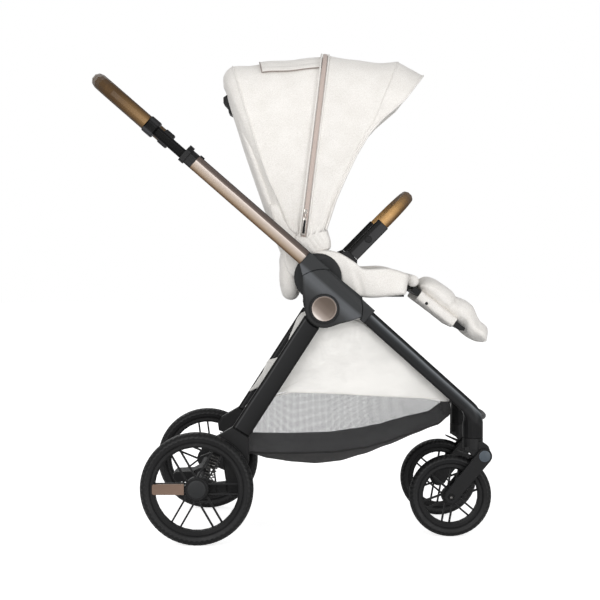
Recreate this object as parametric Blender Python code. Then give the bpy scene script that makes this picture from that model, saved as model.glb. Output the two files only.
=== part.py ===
"""Pram with a folding chassis, a lift-off reversible seat, a canopy, a basket and sprung wheels.

+X is forward, +Y is the pram's left, +Z is up, and the origin is on the ground.
"""

import math

import bmesh
import bpy
from mathutils import Vector

for stale in list(bpy.data.objects):
    bpy.data.objects.remove(stale)

# Clearances
GAP = 0.0003
RUN = 0.0006

# Wheels
REAR_RADIUS = 0.125
REAR_TYRE_DEPTH = 0.022
REAR_TYRE_WIDTH = 0.040
REAR_TRACK = 0.524
REAR_HUB_RADIUS = 0.0265
REAR_SPOKE_SPACING = 0.022
REAR_STEPS = 32
FRONT_RADIUS = 0.093
FRONT_TYRE_DEPTH = 0.020
FRONT_TYRE_WIDTH = 0.034
FRONT_TRACK = 0.300
FRONT_HUB_RADIUS = 0.0205
FRONT_SPOKE_SPACING = 0.017
FRONT_STEPS = 28
RIM_DEPTH = 0.0105
RIM_SHARE = 0.33
SPOKE_PAIRS = 6
SPOKE_WIDTH = 0.004
SPOKE_DEPTH = 0.008
FRONT_SPOKE_TURN = 20.0
AXLE_RADIUS = 0.006
STUB_REACH = 0.006
AXLE_X = -0.200
INSERT_REACH = 0.0974
INSERT_PLATE = 0.0015
LEFT_WHEEL_TURN = 157.5

# Fold hub, on both sides
HUB_X = 0.0805
HUB_Z = 0.520
HUB_RADIUS = 0.043
HUB_SEAM = 0.0862
COLLAR_SEAM = 0.0835
COLLAR_ROOT = 0.004
HUB_TOP = 0.0715
HUB_CREASE = 0.0575
HUB_EDGE = 0.003
PIN_RADIUS = 0.012
LUG_RADIUS = 0.029
DISC_RADIUS = 0.0276
RING_RADIUS = 0.0335

# Layers across the frame, as distances from the middle plane
SIDE = 0.222
TUBE_WIDTH = 0.028
PLATE_IN = 0.2030
PLATE_OUT = 0.2076
FACE_IN = 0.2368
FACE_OUT = 0.2440
SOCKET_IN = 0.2085
SOCKET_OUT = 0.2425

# Side tubes
TUBE_FACE = 0.027
TUBE_RIDGE = 0.008
TUBE_RIDGE_WIDTH = 0.010
TUBE_CORNER = 0.003
TUBE_WALL = 0.0035
HANDLE_ANGLE = 138.9
HANDLE_OFFSET = 0.0518
SOCKET_END = 0.1053
TUBE_END = 0.446
COLLAR_LENGTH = 0.012
COLLAR_LIP = 0.003
ROD_START = 0.330
ROD_DEPTH = 0.0225
ROD_WIDTH = 0.019
GRIP_START = 0.5633
GRIP_COLLAR_LENGTH = 0.027
GRIP_COLLAR_LIP = 0.0025
GRIP_RADIUS = 0.0175
GRIP_CORNER = 0.640
GRIP_END = 0.722
BUTTON_RADIUS = 0.009
BUTTON_TRAVEL = 0.004
BUTTON_POCKET = 0.010
BORE_END = 0.240

FRONT_LEG_ANGLE = -41.9
FRONT_LEG_OFFSET = 0.0476
COLLAR_END = 0.0865
LEG_BEND = 0.048
CASTER_X = 0.419
CASTER_RADIUS = 0.023
CASTER_SEAM = 0.2240
CROWN_BOTTOM = 0.1985
CROSSBAR_LIFT = 0.0092
CROSSBAR_RADIUS = 0.0065
CROSSBAR_BOW = 0.028

REAR_LEG_ANGLE = 237.1
REAR_LEG_OFFSET = 0.0063
REAR_LEG_DEPTH = 0.042
REAR_LEG_WIDTH = 0.027
REAR_LEG_TOP = 0.0445
REAR_LEG_END = 0.330

# Front wheel fork
FORK_PIVOT = (CASTER_X + 0.024, 0.185)
FRONT_AXLE_X = CASTER_X - 0.051
FORK_TOP_RADIUS = 0.0173
FORK_END_RADIUS = 0.0157
FORK_ARM = 0.009
FORK_GAP = 0.0205
FORK_AXLE = 0.005
LEVER_PIVOT = (CASTER_X - 0.003, 0.1812)
LEVER_ROOT = 0.0036
LEVER_TIP = (CASTER_X - 0.034, 0.1944)
LEVER_HALF = 0.012

# Rear axle, its swinging arms and springs
ARM_PIVOT = (-0.118, 0.122)
ARM_LUG_RADIUS = 0.016
ARM_LUG_WIDTH = 0.0168
ARM_BOSS_RADIUS = 0.020
AXLE_BAR_RADIUS = 0.011
BRAKE_RADIUS = 0.017
BRAKE_HALF = 0.044
PEDAL_REACH = 0.067
PEDAL_HALF = 0.040
ARM_IN = 0.0140
ARM_OUT = 0.0165
HOUSING_HALF = 0.0148
WHEEL_GAP = 0.0035
ARM_SIDE = REAR_TRACK / 2 - REAR_TYRE_WIDTH / 2 - WHEEL_GAP - ARM_OUT
SPRING_TOP = (-0.157, 0.195)
SPRING_FOOT = (-0.177, 0.140)
SPRING_RADIUS = 0.0108
SPRING_WIRE = 0.0026
SPRING_CURLS = 8
SPRING_POINTS = 7
SPRING_SEAT = 0.0145

# Seat
SEAT_PIVOT = (0.105, 0.582)
SEAT_WIDTH = 0.372
ADAPTER_CENTRE = (0.067, 0.589)
ADAPTER_RADIUS = 0.053
ADAPTER_IN = 0.1880
ADAPTER_OUT = 0.2024
RIB_HALF = 0.008
RIB_LOW = -0.040
RIB_HIGH = 0.012
RIB_IN = 0.1955
BOARD_REAR = 0.035
BOARD_FRONT = 0.262
BOARD_TOP = 0.5530
BOARD_LOW = BOARD_TOP - 0.0098
PAD_REAR = 0.036
PAD_LENGTH = 0.231
PAD_HEIGHT = 0.024
PAD_HALF = 0.151
PAD_STEP = 0.156
BACK_ANGLE = 109.5
BACK_FOOT = (0.010, 0.600)
BACK_LENGTH = 0.430
BACK_BOARD = 0.010
BACK_HEAD = 0.240
BACK_HALF = 0.1575
EAR_IN = 0.1615
EAR_OUT = 0.1733
EAR_RADIUS = 0.018
PIVOT_RADIUS = 0.006
LEGREST_PIVOT = (0.277, 0.566)
LEGREST_ANGLE = -35.0
LEGREST_HALF = 0.150
KNUCKLE_RADIUS = 0.007
LEGREST_START = KNUCKLE_RADIUS + RUN
LEGREST_END = 0.158
LEGREST_ROOT = 0.007
LEGREST_TIP = -0.006
LEGREST_PAD = 0.216
LEGREST_SWELL = 0.0135
KNUCKLE_IN = 0.118
KNUCKLE_OUT = 0.128

# Bumper bar
BUMPER_FOOT = (0.132, 0.624)
BUMPER_ANGLE = 45.5
BUMPER_SIDE = 0.1850
BUMPER_WIDTH = 0.012
BUMPER_DEPTH = 0.030
BUMPER_SEAM = 0.018
BUMPER_ARM = 0.116
BUMPER_REACH = 0.223
BUMPER_GRIP = 0.014
BUMPER_TONGUE = 0.022
BUMPER_BUTTON = 0.0075
BUMPER_BUTTON_AT = 0.068

# Canopy
CANOPY_PIVOT = (0.034, 0.680)
CANOPY_REAR_RADIUS = 0.420
CANOPY_REAR_HALF = 0.1797
CANOPY_REAR_WALL = 0.0055
CANOPY_FRONT_RADIUS = 0.430
CANOPY_FRONT_WALL = 0.0052
CANOPY_FRONT_HALF = CANOPY_REAR_HALF + RUN + CANOPY_FRONT_WALL
CANOPY_CORNER = 4.0
CANOPY_FOOT = 0.028

# Side views of the visor's seam and of its front edge, from the pivot up
SEAM_LINE = [
    (0.0620, 0.6850), (0.0990, 0.7580), (0.1235, 0.8138), (0.1480, 0.8630),
    (0.1740, 0.9100), (0.1950, 0.9420), (0.2250, 1.0150), (0.2520, 1.0820),
]
VISOR_LINE = [
    (0.0760, 0.6850), (0.1070, 0.7580), (0.1315, 0.8138), (0.1560, 0.8630),
    (0.1840, 0.9100), (0.2130, 0.9470), (0.2620, 0.9840), (0.3130, 1.0490),
]

# Basket
BASKET_REAR = -0.104
BASKET_FRONT = CASTER_X - 0.045
BASKET_WALL = 0.004
PANEL_WALL = 0.003
PANEL_TOP = 0.095
PANEL_END = 0.325

# Basket's side view as (X, floor, rim), and the side panels' lower edge from front to rear
BASKET_STATIONS = [
    (BASKET_REAR, 0.207, 0.222), (-0.085, 0.183, 0.250), (-0.045, 0.168, 0.318), (0.010, 0.158, 0.3305),
    (0.063, 0.154, 0.3290), (0.120, 0.160, 0.3265), (0.175, 0.176, 0.3235), (0.230, 0.198, 0.3190),
    (0.290, 0.222, 0.3145), (0.340, 0.243, 0.3100), (BASKET_FRONT, 0.262, 0.3050),
]
PANEL_EDGE = [
    (0.337, 0.3020), (0.230, 0.3110), (0.120, 0.3185), (0.063, 0.3210), (0.010, 0.3225), (-0.022, 0.3225),
]


def colour(red, green, blue):
    """Turn display values of 0 to 255 into the linear values that a shader takes."""
    return (*[(value / 255) ** 2.2 for value in (red, green, blue)], 1.0)


def material(name, base, roughness, metallic=0.0):
    """Make a Principled material."""
    made = bpy.data.materials.new(name)
    made.use_nodes = True
    shader = made.node_tree.nodes["Principled BSDF"]
    shader.inputs["Base Color"].default_value = base
    shader.inputs["Roughness"].default_value = roughness
    shader.inputs["Metallic"].default_value = metallic
    return made


SATIN_BLACK = material("satin_black", colour(52, 54, 57), 0.42)
BLACK_PLASTIC = material("black_plastic", colour(38, 39, 40), 0.5)
BLACK_METAL = material("black_metal", colour(28, 28, 28), 0.3, 0.6)
CHAMPAGNE = material("champagne_metal", colour(172, 158, 150), 0.3, 0.9)
BRONZE_LEATHER = material("bronze_leather", colour(150, 108, 68), 0.4)
RUBBER = material("tyre_rubber", colour(44, 44, 45), 0.75)
FABRIC = material("white_fabric", colour(236, 232, 227), 0.9)
MESH = material("grey_mesh", colour(92, 92, 93), 0.85)
STEEL = material("spring_steel", colour(120, 118, 115), 0.35, 0.9)


def frame_axes(angle):
    """Give the direction at an angle from +X toward +Z, and the one a quarter turn clockwise of it."""
    turn = math.radians(angle)
    along = Vector((math.cos(turn), 0, math.sin(turn)))
    return along, Vector((along.z, 0, -along.x))


HUB = Vector((HUB_X, 0, HUB_Z))


def on_frame(angle, along, offset, y=0.0, origin=HUB):
    """Place a point by its distance along a direction, its offset from it and its Y."""
    forward, across = frame_axes(angle)
    return origin + forward * along + across * offset + Vector((0, y, 0))


def arc(radius, start, end, count, centre=(0.0, 0.0)):
    """List XZ points along an arc, angles in degrees from +X toward +Z."""
    steps = [math.radians(start + (end - start) * i / (count - 1)) for i in range(count)]
    return [(centre[0] + radius * math.cos(a), centre[1] + radius * math.sin(a)) for a in steps]


def shrink(outline, distance):
    """Move each corner of an outline inward by a distance from both of its sides."""
    area = sum(a[0] * b[1] - b[0] * a[1] for a, b in zip(outline, outline[1:] + outline[:1]))
    sign = 1 if area > 0 else -1
    moved = []
    for i, point in enumerate(outline):
        here = Vector(point)
        before = (here - Vector(outline[i - 1])).normalized()
        after = (Vector(outline[(i + 1) % len(outline)]) - here).normalized()
        normals = [Vector((-d.y, d.x)) * sign for d in (before, after)]
        middle = (normals[0] + normals[1]).normalized()
        moved.append(tuple(here + middle * distance / max(0.5, middle.dot(normals[0]))))
    return moved


def loft(bm, rings, closed=False):
    """Skin rings of equal count; the two ends are filled, or joined where closed."""
    loops = [[bm.verts.new(point) for point in ring] for ring in rings]
    pairs = list(zip(loops, loops[1:]))
    if closed:
        pairs.append((loops[-1], loops[0]))
    for near, far in pairs:
        for i in range(len(near)):
            j = (i + 1) % len(near)
            bm.faces.new((near[i], near[j], far[j], far[i]))
    if not closed:
        bm.faces.new(loops[0])
        bm.faces.new(list(reversed(loops[-1])))


def prism(bm, outline, start, end, chamfer=0.0):
    """Extrude an XZ outline along Y, with cut edges where a chamfer is given."""
    levels = [(start, outline), (end, outline)]
    if chamfer:
        cut = shrink(outline, chamfer)
        step = math.copysign(chamfer, end - start)
        levels = [(start, cut), (start + step, outline), (end - step, outline), (end, cut)]
    loft(bm, [[Vector((x, y, z)) for x, z in ring] for y, ring in levels])


def turned(bm, profile, centre, steps, axis="Y", closed=True, phase=0.5):
    """Turn a profile of (radius, along) points about an axis through a centre."""
    def place(radius, along, angle):
        c, s = radius * math.cos(angle), radius * math.sin(angle)
        offset = Vector((c, along, s)) if axis == "Y" else Vector((c, s, along))
        return Vector(centre) + offset
    angles = [2 * math.pi * (k + phase) / steps for k in range(steps)]
    if closed:
        loft(bm, [[place(r, a, angle) for r, a in profile] for angle in angles], closed=True)
        return
    loft(bm, [[place(r, a, angle) for angle in angles] for r, a in profile])


def section_ring(centre, across, up, section):
    """Place a cross-section of (across, up) points at a centre."""
    return [centre + across * a + up * b for a, b in section]


def bar_section(half, low, high, corner):
    """Outline a bar's cross-section with cut corners."""
    return [
        (half - corner, low), (half, low + corner), (half, high - corner), (half - corner, high),
        (corner - half, high), (-half, high - corner), (-half, low + corner), (corner - half, low),
    ]


def round_section(radius, count, half=None):
    """Outline a round or oval cross-section."""
    wide = radius if half is None else half
    turns = [2 * math.pi * (k + 0.5) / count for k in range(count)]
    return [(wide * math.cos(a), radius * math.sin(a)) for a in turns]


def along_path(path, section, reference):
    """Give the rings of a section that follows a path, upright to a reference direction."""
    rings = []
    for i, point in enumerate(path):
        before = path[max(i - 1, 0)]
        after = path[min(i + 1, len(path) - 1)]
        tangent = (after - before).normalized()
        across = reference.cross(tangent).normalized()
        up = tangent.cross(across)
        rings.append(section_ring(point, across, up, section))
    return rings


def finish(name, bm, look, joint=None):
    """Turn a mesh in world coordinates into a named object under its joint's empty."""
    bmesh.ops.remove_doubles(bm, verts=bm.verts, dist=0.000001)
    bmesh.ops.recalc_face_normals(bm, faces=bm.faces)
    origin = joint.matrix_world.translation.copy() if joint else Vector((0, 0, 0))
    bmesh.ops.translate(bm, verts=bm.verts, vec=-origin)
    mesh = bpy.data.meshes.new(name)
    bm.to_mesh(mesh)
    bm.free()
    mesh.materials.append(look)
    mesh.shade_smooth()
    mesh.set_sharp_from_angle(angle=math.radians(35))
    made = bpy.data.objects.new(name, mesh)
    bpy.context.collection.objects.link(made)
    if joint:
        made.parent = joint
    return made


def combine(target, tools, operation):
    """Join or cut an object with helper shapes that stay hidden."""
    for number, tool in enumerate(tools):
        tool.hide_render = True
        tool.display_type = "WIRE"
        step = target.modifiers.new(f"{operation.lower()}_{number}", "BOOLEAN")
        step.operation = operation
        step.solver = "EXACT"
        step.object = tool
    return target


def shape(name, look, joint, maker, *args, **options):
    """Make one object from one call of a shape function."""
    bm = bmesh.new()
    maker(bm, *args, **options)
    return finish(name, bm, look, joint)


def joint_empty(name, point, parent=None):
    """Make an empty on a joint's axis."""
    made = bpy.data.objects.new(name + "_axis", None)
    bpy.context.collection.objects.link(made)
    made.location = Vector(point)
    if parent:
        made.parent = parent
        made.location -= parent.matrix_world.translation
    bpy.context.view_layer.update()
    return made


def mirrored(side, low, high):
    """Turn a layer's distances from the middle plane into Y values on one side."""
    return side * low, side * high


SIDES = (("r", -1), ("l", 1))

handle_joint = joint_empty("handle_fold", (HUB_X, 0, HUB_Z))
height_joint = joint_empty("handle_height", on_frame(HANDLE_ANGLE, GRIP_START, HANDLE_OFFSET), handle_joint)
button_joint = joint_empty("handle_button", on_frame(HANDLE_ANGLE, GRIP_END, HANDLE_OFFSET), height_joint)
rear_joint = joint_empty("rear_leg_fold", (HUB_X, 0, HUB_Z))
swing_joint = joint_empty("rear_suspension", (ARM_PIVOT[0], 0, ARM_PIVOT[1]), rear_joint)
REAR_AXLE = Vector((AXLE_X, 0, REAR_RADIUS))
pedal_joint = joint_empty("brake_pedal", REAR_AXLE, swing_joint)
seat_joint = joint_empty("seat_lift", (ADAPTER_CENTRE[0], 0, ADAPTER_CENTRE[1]))
back_joint = joint_empty("seat_recline", (SEAT_PIVOT[0], 0, SEAT_PIVOT[1]), seat_joint)
hood_joint = joint_empty("canopy_fold", (CANOPY_PIVOT[0], 0, CANOPY_PIVOT[1]), back_joint)
rest_joint = joint_empty("legrest", (LEGREST_PIVOT[0], 0, LEGREST_PIVOT[1]), seat_joint)
bar_joint = joint_empty("bumper_bar", (BUMPER_FOOT[0], 0, BUMPER_FOOT[1]), seat_joint)


def frame_points(angle, pairs):
    """Turn (along, offset) pairs about the hub into XZ points."""
    return [tuple(on_frame(angle, a, o).xz) for a, o in pairs]


def hub_outline(inset, top):
    """Outline the fold hub's side: two concave seams, a straight top and a round lower end."""
    along = math.sqrt(HUB_SEAM ** 2 - top ** 2)
    high = HANDLE_ANGLE - math.degrees(math.atan2(top, along))
    left = math.degrees(math.acos((-0.047 + inset) / HUB_SEAM))
    outline = arc(HUB_SEAM, high, left, 4)
    outline += [(-0.0469 + inset, 0.0412), (-0.0425 + inset, 0.0060)]
    outline += arc(HUB_RADIUS - inset, 183, 290, 9)
    outline += [(0.0343, -0.0335 + inset), (0.0563, -0.0280 + inset)]
    low = math.degrees(math.asin((-0.0188 + inset) / COLLAR_SEAM))
    reach = math.sqrt(COLLAR_SEAM ** 2 - top ** 2)
    outline += arc(COLLAR_SEAM, low, FRONT_LEG_ANGLE + math.degrees(math.atan2(top, reach)), 4)
    return [(HUB_X + x, HUB_Z + z) for x, z in outline]


def web_outline():
    """Outline the solid part between the hub's plates, clear of both folding lugs."""
    reach = math.sqrt(COLLAR_SEAM ** 2 - HUB_TOP ** 2)
    top_angle = FRONT_LEG_ANGLE + math.degrees(math.atan2(HUB_TOP, reach))
    low = math.degrees(math.asin(-0.0178 / COLLAR_SEAM))
    wall = HUB_TOP - 0.0048
    clear = LUG_RADIUS + 0.004
    outline = frame_points(HANDLE_ANGLE, [
        (math.sqrt(HUB_SEAM ** 2 - HUB_TOP ** 2), HUB_TOP),
        (math.sqrt(HUB_SEAM ** 2 - wall ** 2), wall),
        (-clear / 2, wall),
    ])
    outline += [(HUB_X + x, HUB_Z + z) for x, z in (
        arc(clear, HANDLE_ANGLE - 120, -45, 6)
        + [(0.0353, -0.0325), (0.0563, -0.0270)]
        + arc(COLLAR_SEAM + COLLAR_ROOT, low, top_angle, 4)
    )]
    return outline


def collar_outline():
    """Outline the front leg's collar from its concave seam to its square end."""
    low = FRONT_LEG_OFFSET - TUBE_FACE / 2
    start = COLLAR_SEAM + RUN
    pairs = []
    for k in range(5):
        offset = low + (HUB_TOP - low) * k / 4
        pairs.append((math.sqrt(start ** 2 - offset ** 2), -offset))
    pairs += [(COLLAR_END, -HUB_TOP), (COLLAR_END, -low)]
    return frame_points(FRONT_LEG_ANGLE, pairs)


def hub_core(tag, side):
    """Inner hub plate with the fold pin and the web that carries the front leg."""
    name = f"hub_core_{tag}"
    plate = shape(
        name, SATIN_BLACK, None, prism, hub_outline(0, HUB_TOP), *mirrored(side, PLATE_IN, PLATE_OUT),
    )
    web = shape(
        name + "_web", SATIN_BLACK, None, prism, web_outline(),
        *mirrored(side, PLATE_OUT - 0.001, FACE_IN - GAP),
    )
    pin_line = [(PIN_RADIUS, side * (PLATE_OUT - 0.001)), (PIN_RADIUS, side * (FACE_IN - GAP))]
    pin = shape(name + "_pin", SATIN_BLACK, None, turned, pin_line, (HUB_X, 0, HUB_Z), 20, closed=False)
    rib_line = bar_section(RIB_HALF, RIB_LOW, RIB_HIGH, 0.002)
    rib_at = [(ADAPTER_CENTRE[0] + x, ADAPTER_CENTRE[1] + z) for x, z in rib_line]
    rib = shape(name + "_rib", SATIN_BLACK, None, prism, rib_at, *mirrored(side, RIB_IN, PLATE_IN + 0.001))
    collar = shape(
        name + "_collar", SATIN_BLACK, None, prism, collar_outline(),
        *mirrored(side, PLATE_IN, SOCKET_OUT), chamfer=0.0015,
    )
    return combine(plate, [web, pin, rib, collar], "UNION")


def hub_cover(tag, side):
    """Outer hub shell with its sloped top facet and the raised ring round the disc."""
    name = f"hub_cover_{tag}"
    full = hub_outline(0, HUB_TOP)
    face = hub_outline(HUB_EDGE, HUB_CREASE)
    mid = FACE_OUT - HUB_EDGE
    levels = [(FACE_IN, full), (mid, hub_outline(0, HUB_TOP - 0.004)), (FACE_OUT, face)]
    rings = [[Vector((x, side * y, z)) for x, z in outline] for y, outline in levels]
    cover = shape(name, SATIN_BLACK, None, loft, rings)
    line = [
        (DISC_RADIUS + RUN, side * (FACE_OUT - 0.001)), (DISC_RADIUS + RUN, side * (FACE_OUT + 0.005)),
        (RING_RADIUS - 0.002, side * (FACE_OUT + 0.005)), (RING_RADIUS, side * (FACE_OUT + 0.003)),
        (RING_RADIUS, side * (FACE_OUT - 0.001)),
    ]
    ring = shape(name + "_ring", SATIN_BLACK, None, turned, line, (HUB_X, 0, HUB_Z), 24)
    return combine(cover, [ring], "UNION")


def hub_disc(tag, side):
    """Dished metal disc in the middle of the hub."""
    base = FACE_OUT + GAP
    line = [
        (0.002, side * base), (DISC_RADIUS, side * base), (DISC_RADIUS, side * (base + 0.0035)),
        (DISC_RADIUS * 0.6, side * (base + 0.0022)), (0.002, side * (base + 0.0016)),
    ]
    return shape(f"hub_disc_{tag}", CHAMPAGNE, None, turned, line, (HUB_X, 0, HUB_Z), 24, closed=False)


def ridge_section():
    """Outline the side tubes: a flat face, a sloped facet and a narrow ridge on top."""
    half = TUBE_WIDTH / 2
    face = TUBE_FACE / 2
    ridge = TUBE_RIDGE_WIDTH / 2
    points = [
        (half - TUBE_CORNER, -face), (half, TUBE_CORNER - face), (half, face - 0.002),
        (half - 0.002, face + 0.001),
        (ridge, face + TUBE_RIDGE), (-ridge, face + TUBE_RIDGE), (0.002 - half, face + 0.001),
        (-half, face - 0.002),
        (-half, TUBE_CORNER - face), (TUBE_CORNER - half, -face),
    ]
    return points


def leg_path(side):
    """Front leg's centre line: straight and inward, then a bend down into the caster socket."""
    line_start = on_frame(FRONT_LEG_ANGLE, COLLAR_END + GAP, -FRONT_LEG_OFFSET, SIDE)
    forward, _ = frame_axes(FRONT_LEG_ANGLE)
    reach = (CASTER_X - line_start.x) / forward.x
    corner = line_start + forward * reach
    corner.y = FRONT_TRACK / 2
    turn = math.radians(90 + FRONT_LEG_ANGLE)
    tangent = LEG_BEND * math.tan(turn / 2)
    bend_start = corner - forward * tangent
    bend_start.y = corner.y + 0.004
    points = [line_start]
    for k in range(1, 5):
        point = line_start.lerp(bend_start, k / 5)
        points.append(point)
    points.append(bend_start)
    centre = Vector((corner.x - LEG_BEND, 0, corner.z - tangent))
    for k in range(1, 5):
        angle = math.radians(90 + FRONT_LEG_ANGLE) * (1 - k / 4)
        spot = Vector((centre.x + LEG_BEND * math.cos(angle), 0, centre.z + LEG_BEND * math.sin(angle)))
        spot.y = bend_start.y + (corner.y - bend_start.y) * k / 4
        points.append(spot)
    points.append(Vector((CASTER_X, corner.y, CASTER_SEAM + GAP)))
    for point in points:
        point.y *= side
    return points


def front_leg(tag, side):
    """Front leg, which swells from the tube's section into the round caster socket."""
    path = leg_path(side)
    half = TUBE_WIDTH / 2
    face = TUBE_FACE / 2
    count = 16
    rings = []
    for i, point in enumerate(path):
        before = path[max(i - 1, 0)]
        after = path[min(i + 1, len(path) - 1)]
        tangent = (after - before).normalized()
        if i == len(path) - 1:
            tangent = Vector((0, 0, -1))
        across = Vector((0, 1, 0))
        up = across.cross(tangent).normalized() * -1
        share = min(1.0, max(0.0, (i - 5) / (len(path) - 7)))
        ring = []
        for k in range(count):
            angle = 2 * math.pi * (k + 0.5) / count
            c, s = math.cos(angle), math.sin(angle)
            power = 0.35
            flat_across = math.copysign(abs(c) ** power, c) * half
            flat_up = math.copysign(abs(s) ** power, s) * face
            if s > 0:
                lift = TUBE_RIDGE * max(0.0, 1 - (flat_across / half) ** 2)
                flat_up += lift
            a = flat_across + (CASTER_RADIUS * c - flat_across) * share
            b = flat_up + (CASTER_RADIUS * s - flat_up) * share
            ring.append(point + across * a + up * b)
        rings.append(ring)
    return shape(f"front_leg_{tag}", SATIN_BLACK, None, loft, rings)


def front_crossbar():
    """Foot bar bowed forward between the two caster sockets."""
    inner = FRONT_TRACK / 2 - CASTER_RADIUS + 0.0045
    height = leg_path(1)[-2].z + CROSSBAR_LIFT
    path = []
    for k in range(13):
        share = -1 + 2 * k / 12
        bow = 1 - abs(share) ** 2.6
        path.append(Vector((CASTER_X + 0.0095 + CROSSBAR_BOW * bow, inner * share, height - 0.005 * bow)))
    bar = shape(
        "front_crossbar", SATIN_BLACK, None, loft,
        along_path(path, round_section(CROSSBAR_RADIUS, 10), Vector((0, 0, 1))),
    )
    cutters = []
    for tag, side in SIDES:
        line = [(CASTER_RADIUS + GAP, height - 0.048), (CASTER_RADIUS + GAP, height + 0.052)]
        centre = (CASTER_X, side * FRONT_TRACK / 2, 0)
        cutters.append(
            shape(
                f"crossbar_cut_{tag}", BLACK_PLASTIC, None, turned, line, centre, 24, axis="Z",
                closed=False,
            ),
        )
    return combine(bar, cutters, "DIFFERENCE")


def tyre_profile(radius, depth, width, steps):
    """Outline a tyre's cross-section, its tread's flats reaching the nominal radius."""
    outer = radius / math.cos(math.pi / steps)
    half = width / 2
    inner = radius - depth
    return [
        (inner, -half * 0.6), (inner + depth * 0.35, -half), (outer - depth * 0.22, -half * 0.82),
        (outer, -half * 0.3), (outer, half * 0.3), (outer - depth * 0.22, half * 0.82),
        (inner + depth * 0.35, half), (inner, half * 0.6),
    ]


def wheel(prefix, centre, sizes, joint, bore, side, turn):
    """Rim, hub and paired spokes as one moulding, and the tyre that sits on it."""
    radius, depth, width, hub, spacing, steps = sizes
    tyre = shape(
        prefix + "_tyre", RUBBER, joint, turned, tyre_profile(radius, depth, width, steps), centre, steps,
    )
    outer = radius - depth - GAP
    inner = outer - RIM_DEPTH
    half = width * RIM_SHARE
    rim_line = [
        (inner, -half * 0.8), (inner + 0.004, -half), (outer, -half), (outer, half), (inner + 0.004, half),
        (inner, half * 0.8),
    ]
    rim = shape(prefix, BLACK_PLASTIC, joint, turned, rim_line, centre, steps)
    face = 0.013 if side else half
    hub_line = [(hub, -face), (hub, face * 0.8), (hub * 0.85, face)]
    if side < 0:
        hub_line = [(hub * 0.85, -face), (hub, -face * 0.8), (hub, face)]
    body = shape(prefix + "_body", BLACK_PLASTIC, joint, turned, hub_line, centre, 24, closed=False)
    start = (spacing / 2 + SPOKE_WIDTH / 2) / math.tan(math.pi / SPOKE_PAIRS) + 0.0004
    end = math.sqrt((inner + 0.004) ** 2 - (spacing / 2) ** 2)
    bm = bmesh.new()
    for pair in range(SPOKE_PAIRS):
        angle = 180 + 360 * pair / SPOKE_PAIRS + turn
        for edge in (-1, 1):
            low = edge * spacing / 2 - SPOKE_WIDTH / 2
            high = edge * spacing / 2 + SPOKE_WIDTH / 2
            corners = [
                on_frame(angle, a, o, 0, Vector(centre))
                for a, o in ((start, low), (end, low), (end, high), (start, high))
            ]
            prism(
                bm, [tuple(corner.xz) for corner in corners], centre[1] - SPOKE_DEPTH / 2,
                centre[1] + SPOKE_DEPTH / 2,
            )
    spokes = finish(prefix + "_spokes", bm, BLACK_PLASTIC, joint)
    joined = combine(rim, [spokes, body], "UNION")
    bore_radius, bore_from, bore_to = bore
    line = [(bore_radius, bore_from), (bore_radius, bore_to)]
    hole = shape(
        prefix + "_bore", BLACK_PLASTIC, joint, turned, line, (centre[0], 0, centre[2]), 16, closed=False,
    )
    combine(joined, [hole], "DIFFERENCE")
    return joined, tyre


def rear_wheel(tag, side):
    """Rear wheel with its metal insert over the rearward pair of spokes."""
    y = side * REAR_TRACK / 2
    joint = joint_empty(f"rear_wheel_{tag}", (REAR_AXLE.x, y, REAR_AXLE.z), swing_joint)
    sizes = (REAR_RADIUS, REAR_TYRE_DEPTH, REAR_TYRE_WIDTH, REAR_HUB_RADIUS, REAR_SPOKE_SPACING, REAR_STEPS)
    stub = side * (REAR_TRACK / 2 + STUB_REACH + GAP)
    bore = (AXLE_RADIUS + GAP, side * (ARM_SIDE + 0.002), stub)
    turn = LEFT_WHEEL_TURN if side > 0 else 0.0
    wheel(f"rear_wheel_{tag}", (REAR_AXLE.x, y, REAR_AXLE.z), sizes, joint, bore, side, turn)
    face = REAR_TRACK / 2 + SPOKE_DEPTH / 2 + GAP
    rim_face = REAR_TRACK / 2 + RIM_SHARE * REAR_TYRE_WIDTH + GAP
    inner = REAR_HUB_RADIUS + 0.0012
    outer = REAR_RADIUS - REAR_TYRE_DEPTH - RIM_DEPTH - 0.0032
    half = REAR_SPOKE_SPACING / 2 + 0.0006
    block_line = [(inner, -half), (outer, -half), (outer, half), (inner, half)]
    block = shape(
        f"wheel_insert_{tag}", CHAMPAGNE, joint, prism,
        [tuple(on_frame(180 + turn, a, o, 0, REAR_AXLE).xz) for a, o in block_line],
        *mirrored(side, face, rim_face + INSERT_PLATE / 2),
    )
    plate_line = [
        (inner, -half), (INSERT_REACH - 0.003, -half), (INSERT_REACH, 0.003 - half),
        (INSERT_REACH, half - 0.003), (INSERT_REACH - 0.003, half), (inner, half),
    ]
    plate = shape(
        f"wheel_insert_plate_{tag}", CHAMPAGNE, joint, prism,
        [tuple(on_frame(180 + turn, a, o, 0, REAR_AXLE).xz) for a, o in plate_line],
        *mirrored(side, rim_face, rim_face + INSERT_PLATE),
    )
    combine(block, [plate], "UNION")


def front_wheel(tag, side, joint):
    """Front wheel between its fork's arms."""
    y = side * FRONT_TRACK / 2
    centre = (FRONT_AXLE_X, y, FRONT_RADIUS)
    spin = joint_empty(f"front_wheel_{tag}", centre, joint)
    sizes = (
        FRONT_RADIUS, FRONT_TYRE_DEPTH, FRONT_TYRE_WIDTH, FRONT_HUB_RADIUS, FRONT_SPOKE_SPACING,
        FRONT_STEPS,
    )
    bore = (FORK_AXLE + GAP, y - 0.03, y + 0.03)
    wheel(f"front_wheel_{tag}", centre, sizes, spin, bore, 0, FRONT_SPOKE_TURN)


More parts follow.
